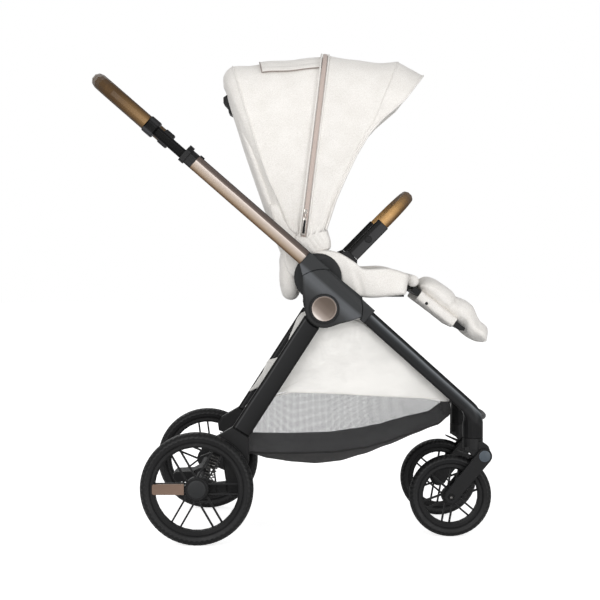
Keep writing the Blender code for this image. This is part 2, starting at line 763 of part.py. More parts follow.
def caster(tag, side):
    """Caster crown, its sprung fork, its wheel and its swivel lock lever."""
    y = side * FRONT_TRACK / 2
    swivel = joint_empty(f"caster_swivel_{tag}", (CASTER_X, y, CASTER_SEAM))
    line = [(CASTER_RADIUS, CROWN_BOTTOM), (CASTER_RADIUS, CASTER_SEAM - GAP)]
    crown = shape(
        f"caster_crown_{tag}", BLACK_PLASTIC, swivel, turned, line, (CASTER_X, y, 0), 24, axis="Z",
        closed=False,
    )
    px, pz = FORK_PIVOT
    nose = [(CASTER_X - 0.0195, CROWN_BOTTOM + 0.005), (CASTER_X - 0.0195, CROWN_BOTTOM - 0.0005)]
    nose += [(LEVER_PIVOT[0] - 0.0085, LEVER_PIVOT[1] + 0.0123)]
    nose += arc(LEVER_ROOT + RUN, 100, -20, 5, LEVER_PIVOT)
    nose += arc(FORK_TOP_RADIUS - 0.001, 215, 380, 7, FORK_PIVOT)
    nose += [(px + 0.010, pz + 0.021), (CASTER_X + 0.017, CASTER_SEAM - 0.006)]
    block = shape(
        f"caster_nose_{tag}", BLACK_PLASTIC, swivel, prism, nose, y - FORK_GAP + GAP, y + FORK_GAP - GAP,
    )
    combine(crown, [block], "UNION")
    swing = joint_empty(f"fork_suspension_{tag}", (px, y, pz), swivel)
    axle = (FRONT_AXLE_X, FRONT_RADIUS)
    tilt = math.degrees(math.atan2(pz - axle[1], px - axle[0]))
    outline = arc(FORK_TOP_RADIUS, tilt - 90, tilt + 90, 8, FORK_PIVOT)
    outline += arc(FORK_END_RADIUS, tilt + 90, tilt + 270, 8, axle)
    outer = shape(
        f"fork_{tag}", BLACK_PLASTIC, swing, prism, outline,
        y + side * FORK_GAP, y + side * (FORK_GAP + FORK_ARM), chamfer=0.0015,
    )
    inner = shape(
        f"fork_inner_{tag}", BLACK_PLASTIC, swing, prism, outline,
        y - side * FORK_GAP, y - side * (FORK_GAP + FORK_ARM), chamfer=0.0015,
    )
    pin = [(FORK_AXLE, -FORK_GAP - 0.003), (FORK_AXLE, FORK_GAP + 0.003)]
    rod = shape(
        f"fork_axle_{tag}", BLACK_PLASTIC, swing, turned, pin, (axle[0], y, axle[1]), 12, closed=False,
    )
    combine(outer, [rod, inner], "UNION")
    front_wheel(tag, side, swing)
    lock = joint_empty(f"swivel_lock_{tag}", (LEVER_PIVOT[0], y, LEVER_PIVOT[1]), swivel)
    lever = arc(LEVER_ROOT, -70, 120, 7, LEVER_PIVOT)
    lever += [
        (LEVER_TIP[0] + 0.0018, LEVER_TIP[1] + 0.0008), LEVER_TIP,
        (LEVER_TIP[0] + 0.0002, LEVER_TIP[1] - 0.0009),
    ]
    shape(f"swivel_lever_{tag}", BLACK_PLASTIC, lock, prism, lever, y - LEVER_HALF, y + LEVER_HALF)


def rear_leg(tag, side):
    """Flat rear leg with its fold lug, splayed where the rear arms stand further apart than the hubs."""
    half = REAR_LEG_DEPTH / 2
    low = REAR_LEG_OFFSET - half
    high = REAR_LEG_OFFSET + half
    pairs = []
    for k in range(7):
        offset = high + (low - high) * k / 6
        pairs.append((math.sqrt(REAR_LEG_TOP ** 2 - offset ** 2), offset))
    pairs += [(REAR_LEG_END, low), (REAR_LEG_END, high)]
    outline = frame_points(REAR_LEG_ANGLE, pairs)
    name = f"rear_leg_{tag}"
    width = REAR_LEG_WIDTH / 2
    leg = shape(
        name, SATIN_BLACK, rear_joint, prism, outline, *mirrored(side, SIDE - width, SIDE + width),
        chamfer=0.003,
    )
    forward, _ = frame_axes(REAR_LEG_ANGLE)
    for vertex in leg.data.vertices:
        if vertex.co.dot(forward) > REAR_LEG_END / 2:
            vertex.co.y += side * (ARM_SIDE - SIDE)
    lug_in, lug_out = SOCKET_IN - 0.0002, SIDE + 0.0012
    ring = arc(LUG_RADIUS, 0, 340, 18, (HUB_X, HUB_Z))
    disc = shape(name + "_ring", SATIN_BLACK, rear_joint, prism, ring, *mirrored(side, lug_in, lug_out))
    arm_line = frame_points(
        REAR_LEG_ANGLE,
        [(0.014, low + 0.0022), (0.062, low + 0.0022), (0.062, high - 0.0022), (0.014, high - 0.0022)],
    )
    arm = shape(
        name + "_arm", SATIN_BLACK, rear_joint, prism, arm_line,
        *mirrored(side, lug_in + 0.0002, lug_out - 0.0003),
    )
    hole_line = [(PIN_RADIUS + GAP, side * (lug_in - 0.004)), (PIN_RADIUS + GAP, side * (lug_out + 0.004))]
    hole = shape(
        name + "_hole", SATIN_BLACK, rear_joint, turned, hole_line, (HUB_X, 0, HUB_Z), 20, closed=False,
    )
    combine(leg, [disc, arm], "UNION")
    return combine(leg, [hole], "DIFFERENCE")


def spring_axes():
    """Give the spring's direction from foot to top and the direction across its seats."""
    foot = Vector((SPRING_FOOT[0], 0, SPRING_FOOT[1]))
    top = Vector((SPRING_TOP[0], 0, SPRING_TOP[1]))
    up = (top - foot).normalized()
    return foot, top, up, Vector((up.z, 0, -up.x))


def axle_housing(tag, side):
    """Moulding on the leg's end: the spring's upper seat and the cheeks of the arm's pivot."""
    foot, top, up, across = spring_axes()
    half = REAR_LEG_DEPTH / 2
    end = REAR_LEG_END + GAP
    start = frame_points(REAR_LEG_ANGLE, [(end, REAR_LEG_OFFSET - half), (end, REAR_LEG_OFFSET + half)])
    outline = list(start)
    outline += [(-0.1640, 0.2330), (-0.1730, 0.2170)]
    outline += [tuple((top - across * SPRING_SEAT).xz), tuple((top + across * SPRING_SEAT).xz)]
    outline += [(-0.1400, 0.1550)]
    outline += arc(ARM_LUG_RADIUS + 0.002, 165, 345, 8, ARM_PIVOT)
    outline += [(-0.0860, 0.1800)]
    body = shape(
        f"axle_housing_{tag}", BLACK_PLASTIC, rear_joint, prism, outline,
        *mirrored(side, ARM_SIDE - HOUSING_HALF, ARM_SIDE + HOUSING_HALF), chamfer=0.002,
    )
    px, pz = ARM_PIVOT
    slot = [
        (px - 0.05, pz - 0.05), (px + 0.05, pz - 0.05), (px + 0.05, pz + 0.026), (px - 0.05, pz + 0.026),
    ]
    width = ARM_LUG_WIDTH / 2 + GAP
    cutter = shape(
        f"axle_housing_slot_{tag}", BLACK_PLASTIC, rear_joint, prism, slot,
        *mirrored(side, ARM_SIDE - width, ARM_SIDE + width),
    )
    return combine(body, [cutter], "DIFFERENCE")


def rear_arm(tag, side):
    """Swinging arm: pivot lug, spring's lower seat, axle boss and stub axle."""
    foot, top, up, across = spring_axes()
    name = f"rear_arm_{tag}"
    px, pz = ARM_PIVOT
    ax, az = AXLE_X, REAR_RADIUS
    seat_rear = tuple((foot - across * SPRING_SEAT).xz)
    seat_front = tuple((foot + across * SPRING_SEAT).xz)
    body_line = [seat_front, seat_rear]
    body_line += arc(ARM_BOSS_RADIUS, 150, 290, 7, (ax, az))
    body_line += [(seat_front[0] + 0.004, az - 0.018), (seat_front[0] + 0.004, seat_front[1] - 0.001)]
    body = shape(
        name, BLACK_PLASTIC, swing_joint, prism, body_line,
        *mirrored(side, ARM_SIDE - ARM_IN, ARM_SIDE + ARM_OUT),
    )
    lug_line = arc(ARM_LUG_RADIUS, -90, 90, 8, ARM_PIVOT)
    lug_line += [
        (seat_front[0] - 0.002, pz + ARM_LUG_RADIUS - 0.005),
        (seat_front[0] - 0.002, pz - ARM_LUG_RADIUS + 0.002),
    ]
    width = ARM_LUG_WIDTH / 2
    lug = shape(
        name + "_lug", BLACK_PLASTIC, swing_joint, prism, lug_line,
        *mirrored(side, ARM_SIDE - width, ARM_SIDE + width),
    )
    stub_line = [
        (AXLE_RADIUS, side * (ARM_SIDE + ARM_IN)), (AXLE_RADIUS, side * (REAR_TRACK / 2 + STUB_REACH)),
    ]
    stub = shape(name + "_stub", BLACK_METAL, swing_joint, turned, stub_line, (ax, 0, az), 16, closed=False)
    return combine(body, [lug, stub], "UNION")


def rear_spring(tag, side):
    """Coil spring as one unbroken wire between its two seats."""
    foot, top, up, across = spring_axes()
    inset = SPRING_WIRE / 2 + GAP
    start = foot + up * inset
    length = (top - foot).length - 2 * inset
    bed = Vector((0, side * ARM_SIDE, 0))
    points = []
    for k in range(SPRING_CURLS * SPRING_POINTS + 1):
        turn = 2 * math.pi * k / SPRING_POINTS
        ring = across * math.cos(turn) + Vector((0, 1, 0)) * math.sin(turn)
        points.append(
            start + bed + up * (length * k / (SPRING_CURLS * SPRING_POINTS)) + ring * SPRING_RADIUS,
        )
    curve = bpy.data.curves.new(f"rear_spring_{tag}", "CURVE")
    curve.dimensions = "3D"
    curve.bevel_depth = SPRING_WIRE / 2
    curve.bevel_resolution = 1
    curve.use_fill_caps = True
    spline = curve.splines.new("POLY")
    spline.points.add(len(points) - 1)
    origin = rear_joint.matrix_world.translation
    for slot, point in zip(spline.points, points):
        slot.co = (*(point - origin), 1)
    curve.materials.append(STEEL)
    made = bpy.data.objects.new(f"rear_spring_{tag}", curve)
    bpy.context.collection.objects.link(made)
    made.parent = rear_joint
    least = min(
        (points[i] - points[j]).length
        for i in range(len(points)) for j in range(i + SPRING_POINTS // 2, len(points))
    ) - SPRING_WIRE
    print(f"rear spring {tag}: least gap to itself {least * 1000:.2f} mm")
    return made


def rear_axle_bar():
    """Tube between the two arms, thicker at the brake housing in the middle."""
    reach = ARM_SIDE - ARM_IN - GAP
    line = [
        (AXLE_BAR_RADIUS, -reach), (AXLE_BAR_RADIUS, -BRAKE_HALF - 0.006), (BRAKE_RADIUS, -BRAKE_HALF),
        (BRAKE_RADIUS, BRAKE_HALF), (AXLE_BAR_RADIUS, BRAKE_HALF + 0.006), (AXLE_BAR_RADIUS, reach),
    ]
    return shape("rear_axle_bar", BLACK_PLASTIC, swing_joint, turned, line, REAR_AXLE, 20, closed=False)


def brake_pedal():
    """Foot pedal that turns about the axle bar."""
    hug = arc(BRAKE_RADIUS + GAP, 130, 235, 7, (AXLE_X, REAR_RADIUS))
    outline = hug + [
        (AXLE_X - 0.020, REAR_RADIUS - 0.0175), (AXLE_X - PEDAL_REACH + 0.006, REAR_RADIUS - 0.0165),
        (AXLE_X - PEDAL_REACH, REAR_RADIUS - 0.008), (AXLE_X - PEDAL_REACH, REAR_RADIUS + 0.001),
        (AXLE_X - PEDAL_REACH + 0.006, REAR_RADIUS + 0.006), (AXLE_X - 0.022, REAR_RADIUS + 0.0075),
    ]
    return shape(
        "brake_pedal", BLACK_PLASTIC, pedal_joint, prism, outline, -PEDAL_HALF, PEDAL_HALF, chamfer=0.0015,
    )


def handle_socket(tag, side):
    """Socket that carries the handle tube, with the lug that turns on the fold pin."""
    name = f"handle_socket_{tag}"
    start = HUB_SEAM + RUN
    high = HANDLE_OFFSET + TUBE_FACE / 2 + TUBE_RIDGE
    low = 0.0233
    pairs = []
    for k in range(6):
        offset = high + (low - high) * k / 5
        pairs.append((math.sqrt(start ** 2 - offset ** 2), offset))
    pairs += [(SOCKET_END, HANDLE_OFFSET - TUBE_FACE / 2), (SOCKET_END, high)]
    outline = frame_points(HANDLE_ANGLE, pairs)
    body = shape(
        name, SATIN_BLACK, handle_joint, prism, outline, *mirrored(side, SOCKET_IN - 0.0025, SOCKET_OUT),
        chamfer=0.0015,
    )
    lug_in, lug_out = SIDE + 0.0018, FACE_IN - RUN
    ring = arc(LUG_RADIUS, 0, 340, 18, (HUB_X, HUB_Z))
    disc = shape(name + "_ring", SATIN_BLACK, handle_joint, prism, ring, *mirrored(side, lug_in, lug_out))
    arm_line = frame_points(HANDLE_ANGLE, [
        (-0.012, 0.0145), (-0.012, 0.058), (0.010, 0.0640), (0.095, 0.0645),
        (0.095, 0.0360), (0.030, 0.0285), (0.0125, 0.0262), (0.012, 0.0145),
    ])
    arm = shape(
        name + "_arm", SATIN_BLACK, handle_joint, prism, arm_line,
        *mirrored(side, lug_in + 0.0002, lug_out - 0.0002),
    )
    hole_line = [(PIN_RADIUS + GAP, side * (lug_in - 0.004)), (PIN_RADIUS + GAP, side * (lug_out + 0.004))]
    hole = shape(
        name + "_hole", SATIN_BLACK, handle_joint, turned, hole_line, (HUB_X, 0, HUB_Z), 20, closed=False,
    )
    combine(body, [disc, arm], "UNION")
    return combine(body, [hole], "DIFFERENCE")


def handle_rings(side, spans):
    """Give rings across the handle's side line at (along, section) stations."""
    _, up = frame_axes(HANDLE_ANGLE)
    across = Vector((0, 1, 0))
    return [
        section_ring(on_frame(HANDLE_ANGLE, along, HANDLE_OFFSET, side * SIDE), across, up, section)
        for along, section in spans
    ]


def rod_section(extra=0.0):
    """Outline the sliding rod; extra is a clearance round it."""
    return box_section(ROD_WIDTH / 2 + extra, ROD_DEPTH / 2 + extra, 0.005)


def box_section(half, reach, corner):
    """Outline a bar with cut corners and a point in the middle of each upright side."""
    points = bar_section(half, -reach, reach, corner)
    return points[:2] + [(half, 0.0)] + points[2:6] + [(-half, 0.0)] + points[6:]


def outer_tube(tag, side):
    """Handle's outer tube with a collar on its open end, bored for the sliding rod."""
    outside = ridge_section()
    grow = 1 + 2 * COLLAR_LIP / TUBE_FACE
    collar = [(a * grow, b * grow) for a, b in outside]
    bore = rod_section(GAP)
    top = TUBE_END + COLLAR_LENGTH
    rings = handle_rings(side, [
        (SOCKET_END + GAP, outside), (TUBE_END, outside), (TUBE_END + GAP, collar), (top, collar),
        (top, bore), (BORE_END, bore),
    ])
    return shape(f"outer_tube_{tag}", CHAMPAGNE, handle_joint, loft, rings)


def handle_rod(tag, side):
    """Rod that slides in the outer tube, with the box-like collar under the grip."""
    rod = rod_section()
    reach = GRIP_RADIUS + GRIP_COLLAR_LIP
    box = box_section(reach * 0.92, reach, 0.005)
    small = [(a * 0.9, b * 0.9) for a, b in box]
    start = GRIP_START - GRIP_COLLAR_LENGTH
    rings = handle_rings(side, [
        (ROD_START, rod), (start, rod), (start, small), (start + 0.003, box),
        (GRIP_START - GAP - 0.003, box), (GRIP_START - GAP, small),
    ])
    return shape(f"handle_rod_{tag}", BLACK_METAL, height_joint, loft, rings)


def grip_path():
    """Handle's centre line from the right collar round the crossbar to the left one."""
    points = []
    for k in range(17):
        angle = math.pi * k / 16
        c, s = math.cos(angle), math.sin(angle)
        y = -math.copysign(abs(c) ** (2 / 3.2), c) * SIDE
        along = GRIP_CORNER + (GRIP_END - GRIP_CORNER) * s ** (2 / 2.2)
        points.append(on_frame(HANDLE_ANGLE, along, HANDLE_OFFSET, y))
    first = on_frame(HANDLE_ANGLE, GRIP_START, HANDLE_OFFSET, -SIDE)
    last = on_frame(HANDLE_ANGLE, GRIP_START, HANDLE_OFFSET, SIDE)
    return [first] + points + [last]


def handle_grip():
    """Leather-covered grip, one piece from collar to collar."""
    _, up = frame_axes(HANDLE_ANGLE)
    path = grip_path()
    rings = along_path(path, round_section(GRIP_RADIUS, 10), up)
    grip = shape("handle_grip", BRONZE_LEATHER, height_joint, loft, rings)
    forward, _ = frame_axes(HANDLE_ANGLE)
    start = on_frame(HANDLE_ANGLE, GRIP_END + GRIP_RADIUS - BUTTON_POCKET, HANDLE_OFFSET)
    pocket = shape(
        "grip_pocket", BLACK_PLASTIC, height_joint, rod_between, start, start + forward * 0.03,
        BUTTON_RADIUS + GAP, 20,
    )
    return combine(grip, [pocket], "DIFFERENCE")


def rod_between(bm, start, end, radius, count):
    """Round rod between two points."""
    tangent = (end - start).normalized()
    across = Vector((0, 1, 0)).cross(tangent)
    if across.length < 0.1:
        across = Vector((1, 0, 0))
    across.normalize()
    up = tangent.cross(across)
    section = round_section(radius, count)
    loft(bm, [section_ring(start, across, up, section), section_ring(end, across, up, section)])


def handle_button():
    """Fold release button in the middle of the grip."""
    forward, _ = frame_axes(HANDLE_ANGLE)
    start = on_frame(
        HANDLE_ANGLE, GRIP_END + GRIP_RADIUS - BUTTON_POCKET + BUTTON_TRAVEL + GAP, HANDLE_OFFSET,
    )
    end = start + forward * (BUTTON_POCKET - BUTTON_TRAVEL + 0.006)
    return shape("fold_button", BLACK_PLASTIC, button_joint, rod_between, start, end, BUTTON_RADIUS, 20)


def seat_frame():
    """Seat board, its side brackets, the recline pivots and the bumper bar's sockets."""
    board = [
        (BOARD_REAR, BOARD_LOW), (BOARD_FRONT, BOARD_LOW), (BOARD_FRONT, BOARD_TOP), (BOARD_REAR, BOARD_TOP),
    ]
    body = shape("seat_frame", BLACK_PLASTIC, seat_joint, prism, board, -BACK_HALF, BACK_HALF)
    tools = []
    forward, across = frame_axes(BUMPER_ANGLE)
    foot = Vector((BUMPER_FOOT[0], 0, BUMPER_FOOT[1]))
    low = BUMPER_SIDE - BUMPER_WIDTH / 2
    for tag, side in SIDES:
        low_edge, top_edge = BOARD_LOW + 0.0005, BOARD_TOP - 0.0005
        step = [(0.096, low_edge), (0.150, low_edge), (0.150, top_edge), (0.096, top_edge)]
        tools.append(
            shape(
                f"seat_step_{tag}", BLACK_PLASTIC, seat_joint, prism, step,
                *mirrored(side, BACK_HALF - 0.004, low + 0.004),
            ),
        )
        end = [foot + forward * BUMPER_SEAM + across * (s * BUMPER_DEPTH / 2) for s in (1, -1)]
        bracket = [
            (0.038, BOARD_LOW + 0.0003), (0.152, BOARD_LOW + 0.0003), tuple(end[0].xz), tuple(end[1].xz),
            (0.085, 0.628), (0.050, 0.605),
        ]
        tools.append(shape(
            f"seat_bracket_{tag}", BLACK_PLASTIC, seat_joint, prism, bracket,
            *mirrored(side, EAR_OUT + 0.0020, ADAPTER_IN - GAP),
        ))
        pin = [(PIVOT_RADIUS, side * (EAR_IN - 0.002)), (PIVOT_RADIUS, side * (EAR_OUT + 0.004))]
        tools.append(shape(
            f"seat_pin_{tag}", BLACK_PLASTIC, seat_joint, turned, pin, (SEAT_PIVOT[0], 0, SEAT_PIVOT[1]),
            16, closed=False,
        ))
        tongue = [foot + forward * a + across * o for a, o in (
            (BUMPER_SEAM - 0.006, -0.006), (BUMPER_SEAM + BUMPER_TONGUE, -0.006),
            (BUMPER_SEAM + BUMPER_TONGUE, 0.006), (BUMPER_SEAM - 0.006, 0.006),
        )]
        tools.append(shape(
            f"bumper_tongue_{tag}", BLACK_PLASTIC, seat_joint, prism, [tuple(p.xz) for p in tongue],
            *mirrored(side, BUMPER_SIDE - 0.0025, BUMPER_SIDE + 0.0020),
        ))
        hinge = [(BOARD_FRONT - 0.012, BOARD_LOW + 0.0008), (BOARD_FRONT, BOARD_LOW + 0.0008)]
        hinge += arc(KNUCKLE_RADIUS, -110, 150, 9, LEGREST_PIVOT)
        hinge += [(BOARD_FRONT + 0.0065, BOARD_TOP), (BOARD_FRONT - 0.012, top_edge)]
        tools.append(shape(
            f"legrest_lug_{tag}", BLACK_PLASTIC, seat_joint, prism, hinge,
            *mirrored(side, KNUCKLE_IN, KNUCKLE_OUT),
        ))
    return combine(body, tools, "UNION")


def seat_adapter(tag, side):
    """Rounded disc that drops over the hub's rib."""
    disc = arc(ADAPTER_RADIUS, 0, 350, 32, ADAPTER_CENTRE)
    body = shape(
        f"seat_adapter_{tag}", SATIN_BLACK, seat_joint, prism, disc,
        *mirrored(side, ADAPTER_IN, ADAPTER_OUT), chamfer=0.002,
    )
    cx, cz = ADAPTER_CENTRE
    gap = RUN
    slot = [
        (cx - RIB_HALF - gap, cz - 0.08), (cx + RIB_HALF + gap, cz - 0.08),
        (cx + RIB_HALF + gap, cz + RIB_HIGH + GAP), (cx - RIB_HALF - gap, cz + RIB_HIGH + GAP),
    ]
    cutter = shape(
        f"adapter_slot_{tag}", SATIN_BLACK, seat_joint, prism, slot,
        *mirrored(side, RIB_IN - GAP, ADAPTER_OUT + 0.01),
    )
    return combine(body, [cutter], "DIFFERENCE")


def cushion(bm, stations, count=16, power=0.45):
    """Skin a stuffed form through stations of (centre, half width, half height, up direction)."""
    rings = []
    for centre, half, height, up in stations:
        ring = []
        for k in range(count):
            angle = 2 * math.pi * (k + 0.5) / count
            c, s = math.cos(angle), math.sin(angle)
            across = math.copysign(abs(c) ** power, c) * half
            lift = math.copysign(abs(s) ** 0.8, s) * height
            ring.append(centre + Vector((0, across, 0)) + up * lift)
        rings.append(ring)
    loft(bm, rings)


def stuffed(share, ends=0.18):
    """Give a cushion's fullness along its length: drawn in at both ends."""
    edge = min(share, 1 - share) / ends
    return math.sqrt(max(0.0, 1 - (1 - min(edge, 1.0)) ** 2))


def seat_pad():
    """Seat cushion: crowned, with two cross channels, wider in front of the bumper bar's sockets."""
    stations = []
    count = 19
    for k in range(count):
        share = k / (count - 1)
        x = PAD_REAR + PAD_LENGTH * share
        full = 0.35 + 0.65 * stuffed(share)
        channel = max(math.exp(-((share - c) / 0.035) ** 2) for c in (0.36, 0.68))
        height = PAD_HEIGHT * full * (1 - 0.28 * channel)
        widen = min(1.0, max(0.0, (x - PAD_STEP) / 0.010))
        half = (PAD_HALF + (SEAT_WIDTH / 2 - PAD_HALF) * widen) * (0.94 + 0.06 * full)
        stations.append((Vector((x, 0, BOARD_TOP + 0.0005 + height)), half, height, Vector((0, 0, 1))))
    return shape("seat_pad", FABRIC, seat_joint, cushion, stations)


def back_point(along, front, y=0.0):
    """Place a point by its distance up the back and ahead of its rear face."""
    return on_frame(BACK_ANGLE, along, front, y, Vector((BACK_FOOT[0], 0, BACK_FOOT[1])))


def back_half(along):
    """Half width of the back, which narrows to a round head."""
    share = max(0.0, (along - BACK_HEAD) / (BACK_LENGTH + 0.008 - BACK_HEAD))
    return BACK_HALF * (1 - share ** 2.5) ** (1 / 2.5)


def seat_back():
    """Back board with a round head and its ears on the recline pivots."""
    heights = [0.0, BACK_HEAD] + [BACK_HEAD + (BACK_LENGTH - BACK_HEAD) * k / 8 for k in range(1, 9)]
    rings = []
    for along in heights:
        half = back_half(along)
        rings.append(
            [
                back_point(along, f, y)
                for f, y in ((0, -half), (0, half), (BACK_BOARD, half), (BACK_BOARD, -half))
            ],
        )
    board = shape("seat_back", BLACK_PLASTIC, back_joint, loft, rings)
    tools = []
    for tag, side in SIDES:
        ear = [tuple(back_point(a, f).xz) for a, f in ((0.145, 0.0005), (0.145, 0.046), (0.070, 0.058))]
        ear += arc(EAR_RADIUS, 60, -150, 8, SEAT_PIVOT)
        ear += [tuple(back_point(0.0005, 0.010).xz), tuple(back_point(0.0005, 0.0005).xz)]
        plate = shape(
            f"seat_ear_{tag}", BLACK_PLASTIC, back_joint, prism, ear, *mirrored(side, EAR_IN, EAR_OUT),
        )
        hook_line = [
            tuple(back_point(a, f).xz)
            for a, f in ((0.002, 0.001), (0.140, 0.001), (0.140, 0.009), (0.002, 0.009))
        ]
        hook = shape(
            f"seat_ear_foot_{tag}", BLACK_PLASTIC, back_joint, prism, hook_line,
            *mirrored(side, BACK_HALF - 0.004, EAR_OUT - 0.002),
        )
        tools += [plate, hook]
    combine(board, tools, "UNION")
    holes = []
    for tag, side in SIDES:
        line = [(PIVOT_RADIUS + GAP, side * (EAR_IN - 0.01)), (PIVOT_RADIUS + GAP, side * (EAR_OUT + 0.01))]
        holes.append(
            shape(
                f"seat_ear_hole_{tag}", BLACK_PLASTIC, back_joint, turned, line,
                (SEAT_PIVOT[0], 0, SEAT_PIVOT[1]), 16, closed=False,
            ),
        )
    return combine(board, holes, "DIFFERENCE")


def back_pad():
    """Back cushion: crowned, with three cross channels."""
    _, ahead = frame_axes(BACK_ANGLE)
    stations = []
    count = 21
    for k in range(count):
        share = k / (count - 1)
        full = 0.35 + 0.65 * stuffed(share, 0.12)
        channel = max(math.exp(-((share - c) / 0.03) ** 2) for c in (0.27, 0.5, 0.73))
        height = 0.0175 * full * (1 - 0.3 * channel)
        along = 0.030 + (BACK_LENGTH - 0.034) * share
        centre = back_point(along, BACK_BOARD + GAP + height)
        stations.append((centre, (back_half(along) - 0.003) * (0.93 + 0.07 * full), height, ahead))
    return shape("back_pad", FABRIC, back_joint, cushion, stations)


def recline_lever():
    """Squeeze lever behind the top of the back."""
    joint = joint_empty("recline_lever", back_point(0.418, -0.008), back_joint)
    pairs = [
        (0.4215, -0.0006), (0.433, -0.006), (0.430, -0.016), (0.418, -0.020), (0.404, -0.014),
        (0.392, -0.016),
        (0.385, -0.010), (0.396, -0.004), (0.4145, -0.0006),
    ]
    outline = [tuple(back_point(a, f).xz) for a, f in pairs]
    return shape("recline_lever", BLACK_PLASTIC, joint, prism, outline, -0.045, 0.045, chamfer=0.001)


def legrest_point(along, up, y=0.0):
    """Place a point by its distance along the legrest and above its board."""
    forward, across = frame_axes(LEGREST_ANGLE)
    return Vector((LEGREST_PIVOT[0], y, LEGREST_PIVOT[1])) + forward * along - across * up


def legrest_board():
    """Board under the legrest pad, hinged on the seat frame's two knuckles."""
    outline = [tuple(legrest_point(a, u).xz) for a, u in (
        (LEGREST_START, -LEGREST_ROOT), (LEGREST_END - 0.008, -0.017), (LEGREST_END, -0.012),
        (LEGREST_END, LEGREST_TIP), (LEGREST_START, LEGREST_ROOT),
    )]
    half = LEGREST_HALF - 0.012
    return shape("legrest_board", BLACK_PLASTIC, rest_joint, prism, outline, -half, half)


def board_top(along):
    """Give the height of the legrest board's upper face."""
    share = (along - LEGREST_START) / (LEGREST_END - LEGREST_START)
    return LEGREST_ROOT + (LEGREST_TIP - LEGREST_ROOT) * share


def legrest_pad():
    """Two puffy pads in one cover, parted by a cross channel, wrapped over the board's front end."""
    _, down = frame_axes(LEGREST_ANGLE)
    up = -down
    stations = []
    count = 21
    for k in range(count):
        share = k / (count - 1)
        along = 0.009 + LEGREST_PAD * share
        full = stuffed(share, 0.14)
        channel = math.exp(-((share - 0.45) / 0.04) ** 2)
        height = 0.004 + LEGREST_SWELL * full * (1 - 0.35 * channel)
        past = min(1.0, max(0.0, (along - LEGREST_END - 0.002) / 0.020))
        top = 0.0085 + 2 * height if past == 0 else 2 * height - 0.012 * past
        base = board_top(min(along, LEGREST_END)) + GAP - 0.0070 * past
        centre = legrest_point(along, (top + base) / 2)
        half = LEGREST_HALF * (0.90 + 0.10 * full) * (1 - 0.05 * channel)
        stations.append((centre, half, (top - base) / 2, up))
    return shape("legrest_pad", FABRIC, rest_joint, cushion, stations)


def bumper_arm(tag, side):
    """Bumper bar's arm, bored for the tongue it plugs on."""
    forward, across = frame_axes(BUMPER_ANGLE)
    foot = Vector((BUMPER_FOOT[0], side * BUMPER_SIDE, BUMPER_FOOT[1]))
    outside = bar_section(BUMPER_WIDTH / 2, -BUMPER_DEPTH / 2, BUMPER_DEPTH / 2, 0.003)
    slot = bar_section(0.0033, -0.0068, 0.0068, 0.0005)
    start = BUMPER_SEAM + RUN
    stations = [
        (BUMPER_ARM, outside), (start, outside), (start, slot), (start + BUMPER_TONGUE + 0.003, slot),
    ]
    rings = [
        section_ring(foot + forward * a, Vector((0, 1, 0)), across, section) for a, section in stations
    ]
    arm = shape(f"bumper_arm_{tag}", BLACK_PLASTIC, bar_joint, loft, rings)
    spot = foot + forward * BUMPER_BUTTON_AT + Vector((0, side * BUMPER_WIDTH / 2, 0))
    line = [(BUMPER_BUTTON + GAP, -side * 0.0025), (BUMPER_BUTTON + GAP, side * 0.01)]
    pocket = shape(f"bumper_pocket_{tag}", BLACK_PLASTIC, bar_joint, turned, line, spot, 16, closed=False)
    combine(arm, [pocket], "DIFFERENCE")
    press = joint_empty(f"bumper_button_{tag}", spot, bar_joint)
    button_line = [(BUMPER_BUTTON, -side * 0.0007), (BUMPER_BUTTON, side * 0.0016)]
    shape(f"bumper_button_{tag}", BLACK_PLASTIC, press, turned, button_line, spot, 16, closed=False)


def bumper_grip():
    """Leather-covered bow between the bumper bar's arms."""
    forward, across = frame_axes(BUMPER_ANGLE)
    foot = Vector((BUMPER_FOOT[0], 0, BUMPER_FOOT[1]))
    start = BUMPER_ARM + GAP
    path = [foot + forward * start + Vector((0, -BUMPER_SIDE, 0))]
    for k in range(1, 16):
        angle = math.pi * k / 16
        c, s = math.cos(angle), math.sin(angle)
        y = -math.copysign(abs(c) ** (2 / 2.3), c) * BUMPER_SIDE
        along = start + 0.004 + (BUMPER_REACH - BUMPER_GRIP - start - 0.004) * s ** (2 / 2.3)
        path.append(foot + forward * along + Vector((0, y, 0)))
    path.append(foot + forward * start + Vector((0, BUMPER_SIDE, 0)))
    path.insert(1, foot + forward * (start + 0.004) + Vector((0, -BUMPER_SIDE, 0)))
    path.insert(-1, foot + forward * (start + 0.004) + Vector((0, BUMPER_SIDE, 0)))
    rings = along_path(path, round_section(BUMPER_GRIP, 8, BUMPER_GRIP * 0.62), across)
    return shape("bumper_grip", BRONZE_LEATHER, bar_joint, loft, rings)


def bow(radius, half, angle, foot, line=None, count=8):
    """Half hoop in the plane through the canopy's pivot: upright sides and a rounded top."""
    points = []
    for k in range(2 * count + 1):
        turn = math.pi * k / (2 * count)
        c, s = math.cos(turn), math.sin(turn)
        across = math.copysign(abs(c) ** (2 / CANOPY_CORNER), c) * half
        rise = abs(s) ** (2 / CANOPY_CORNER)
        reach = foot + (radius - foot) * rise
        x, z = along_line(line, reach) if line else arc(reach, angle, angle, 2, CANOPY_PIVOT)[0]
        points.append(Vector((x, across, z)))
    return points


def hood_ring(outer, inner):
    """Join an outer and an inner half hoop into one ring of the shell's wall."""
    return outer + list(reversed(inner))


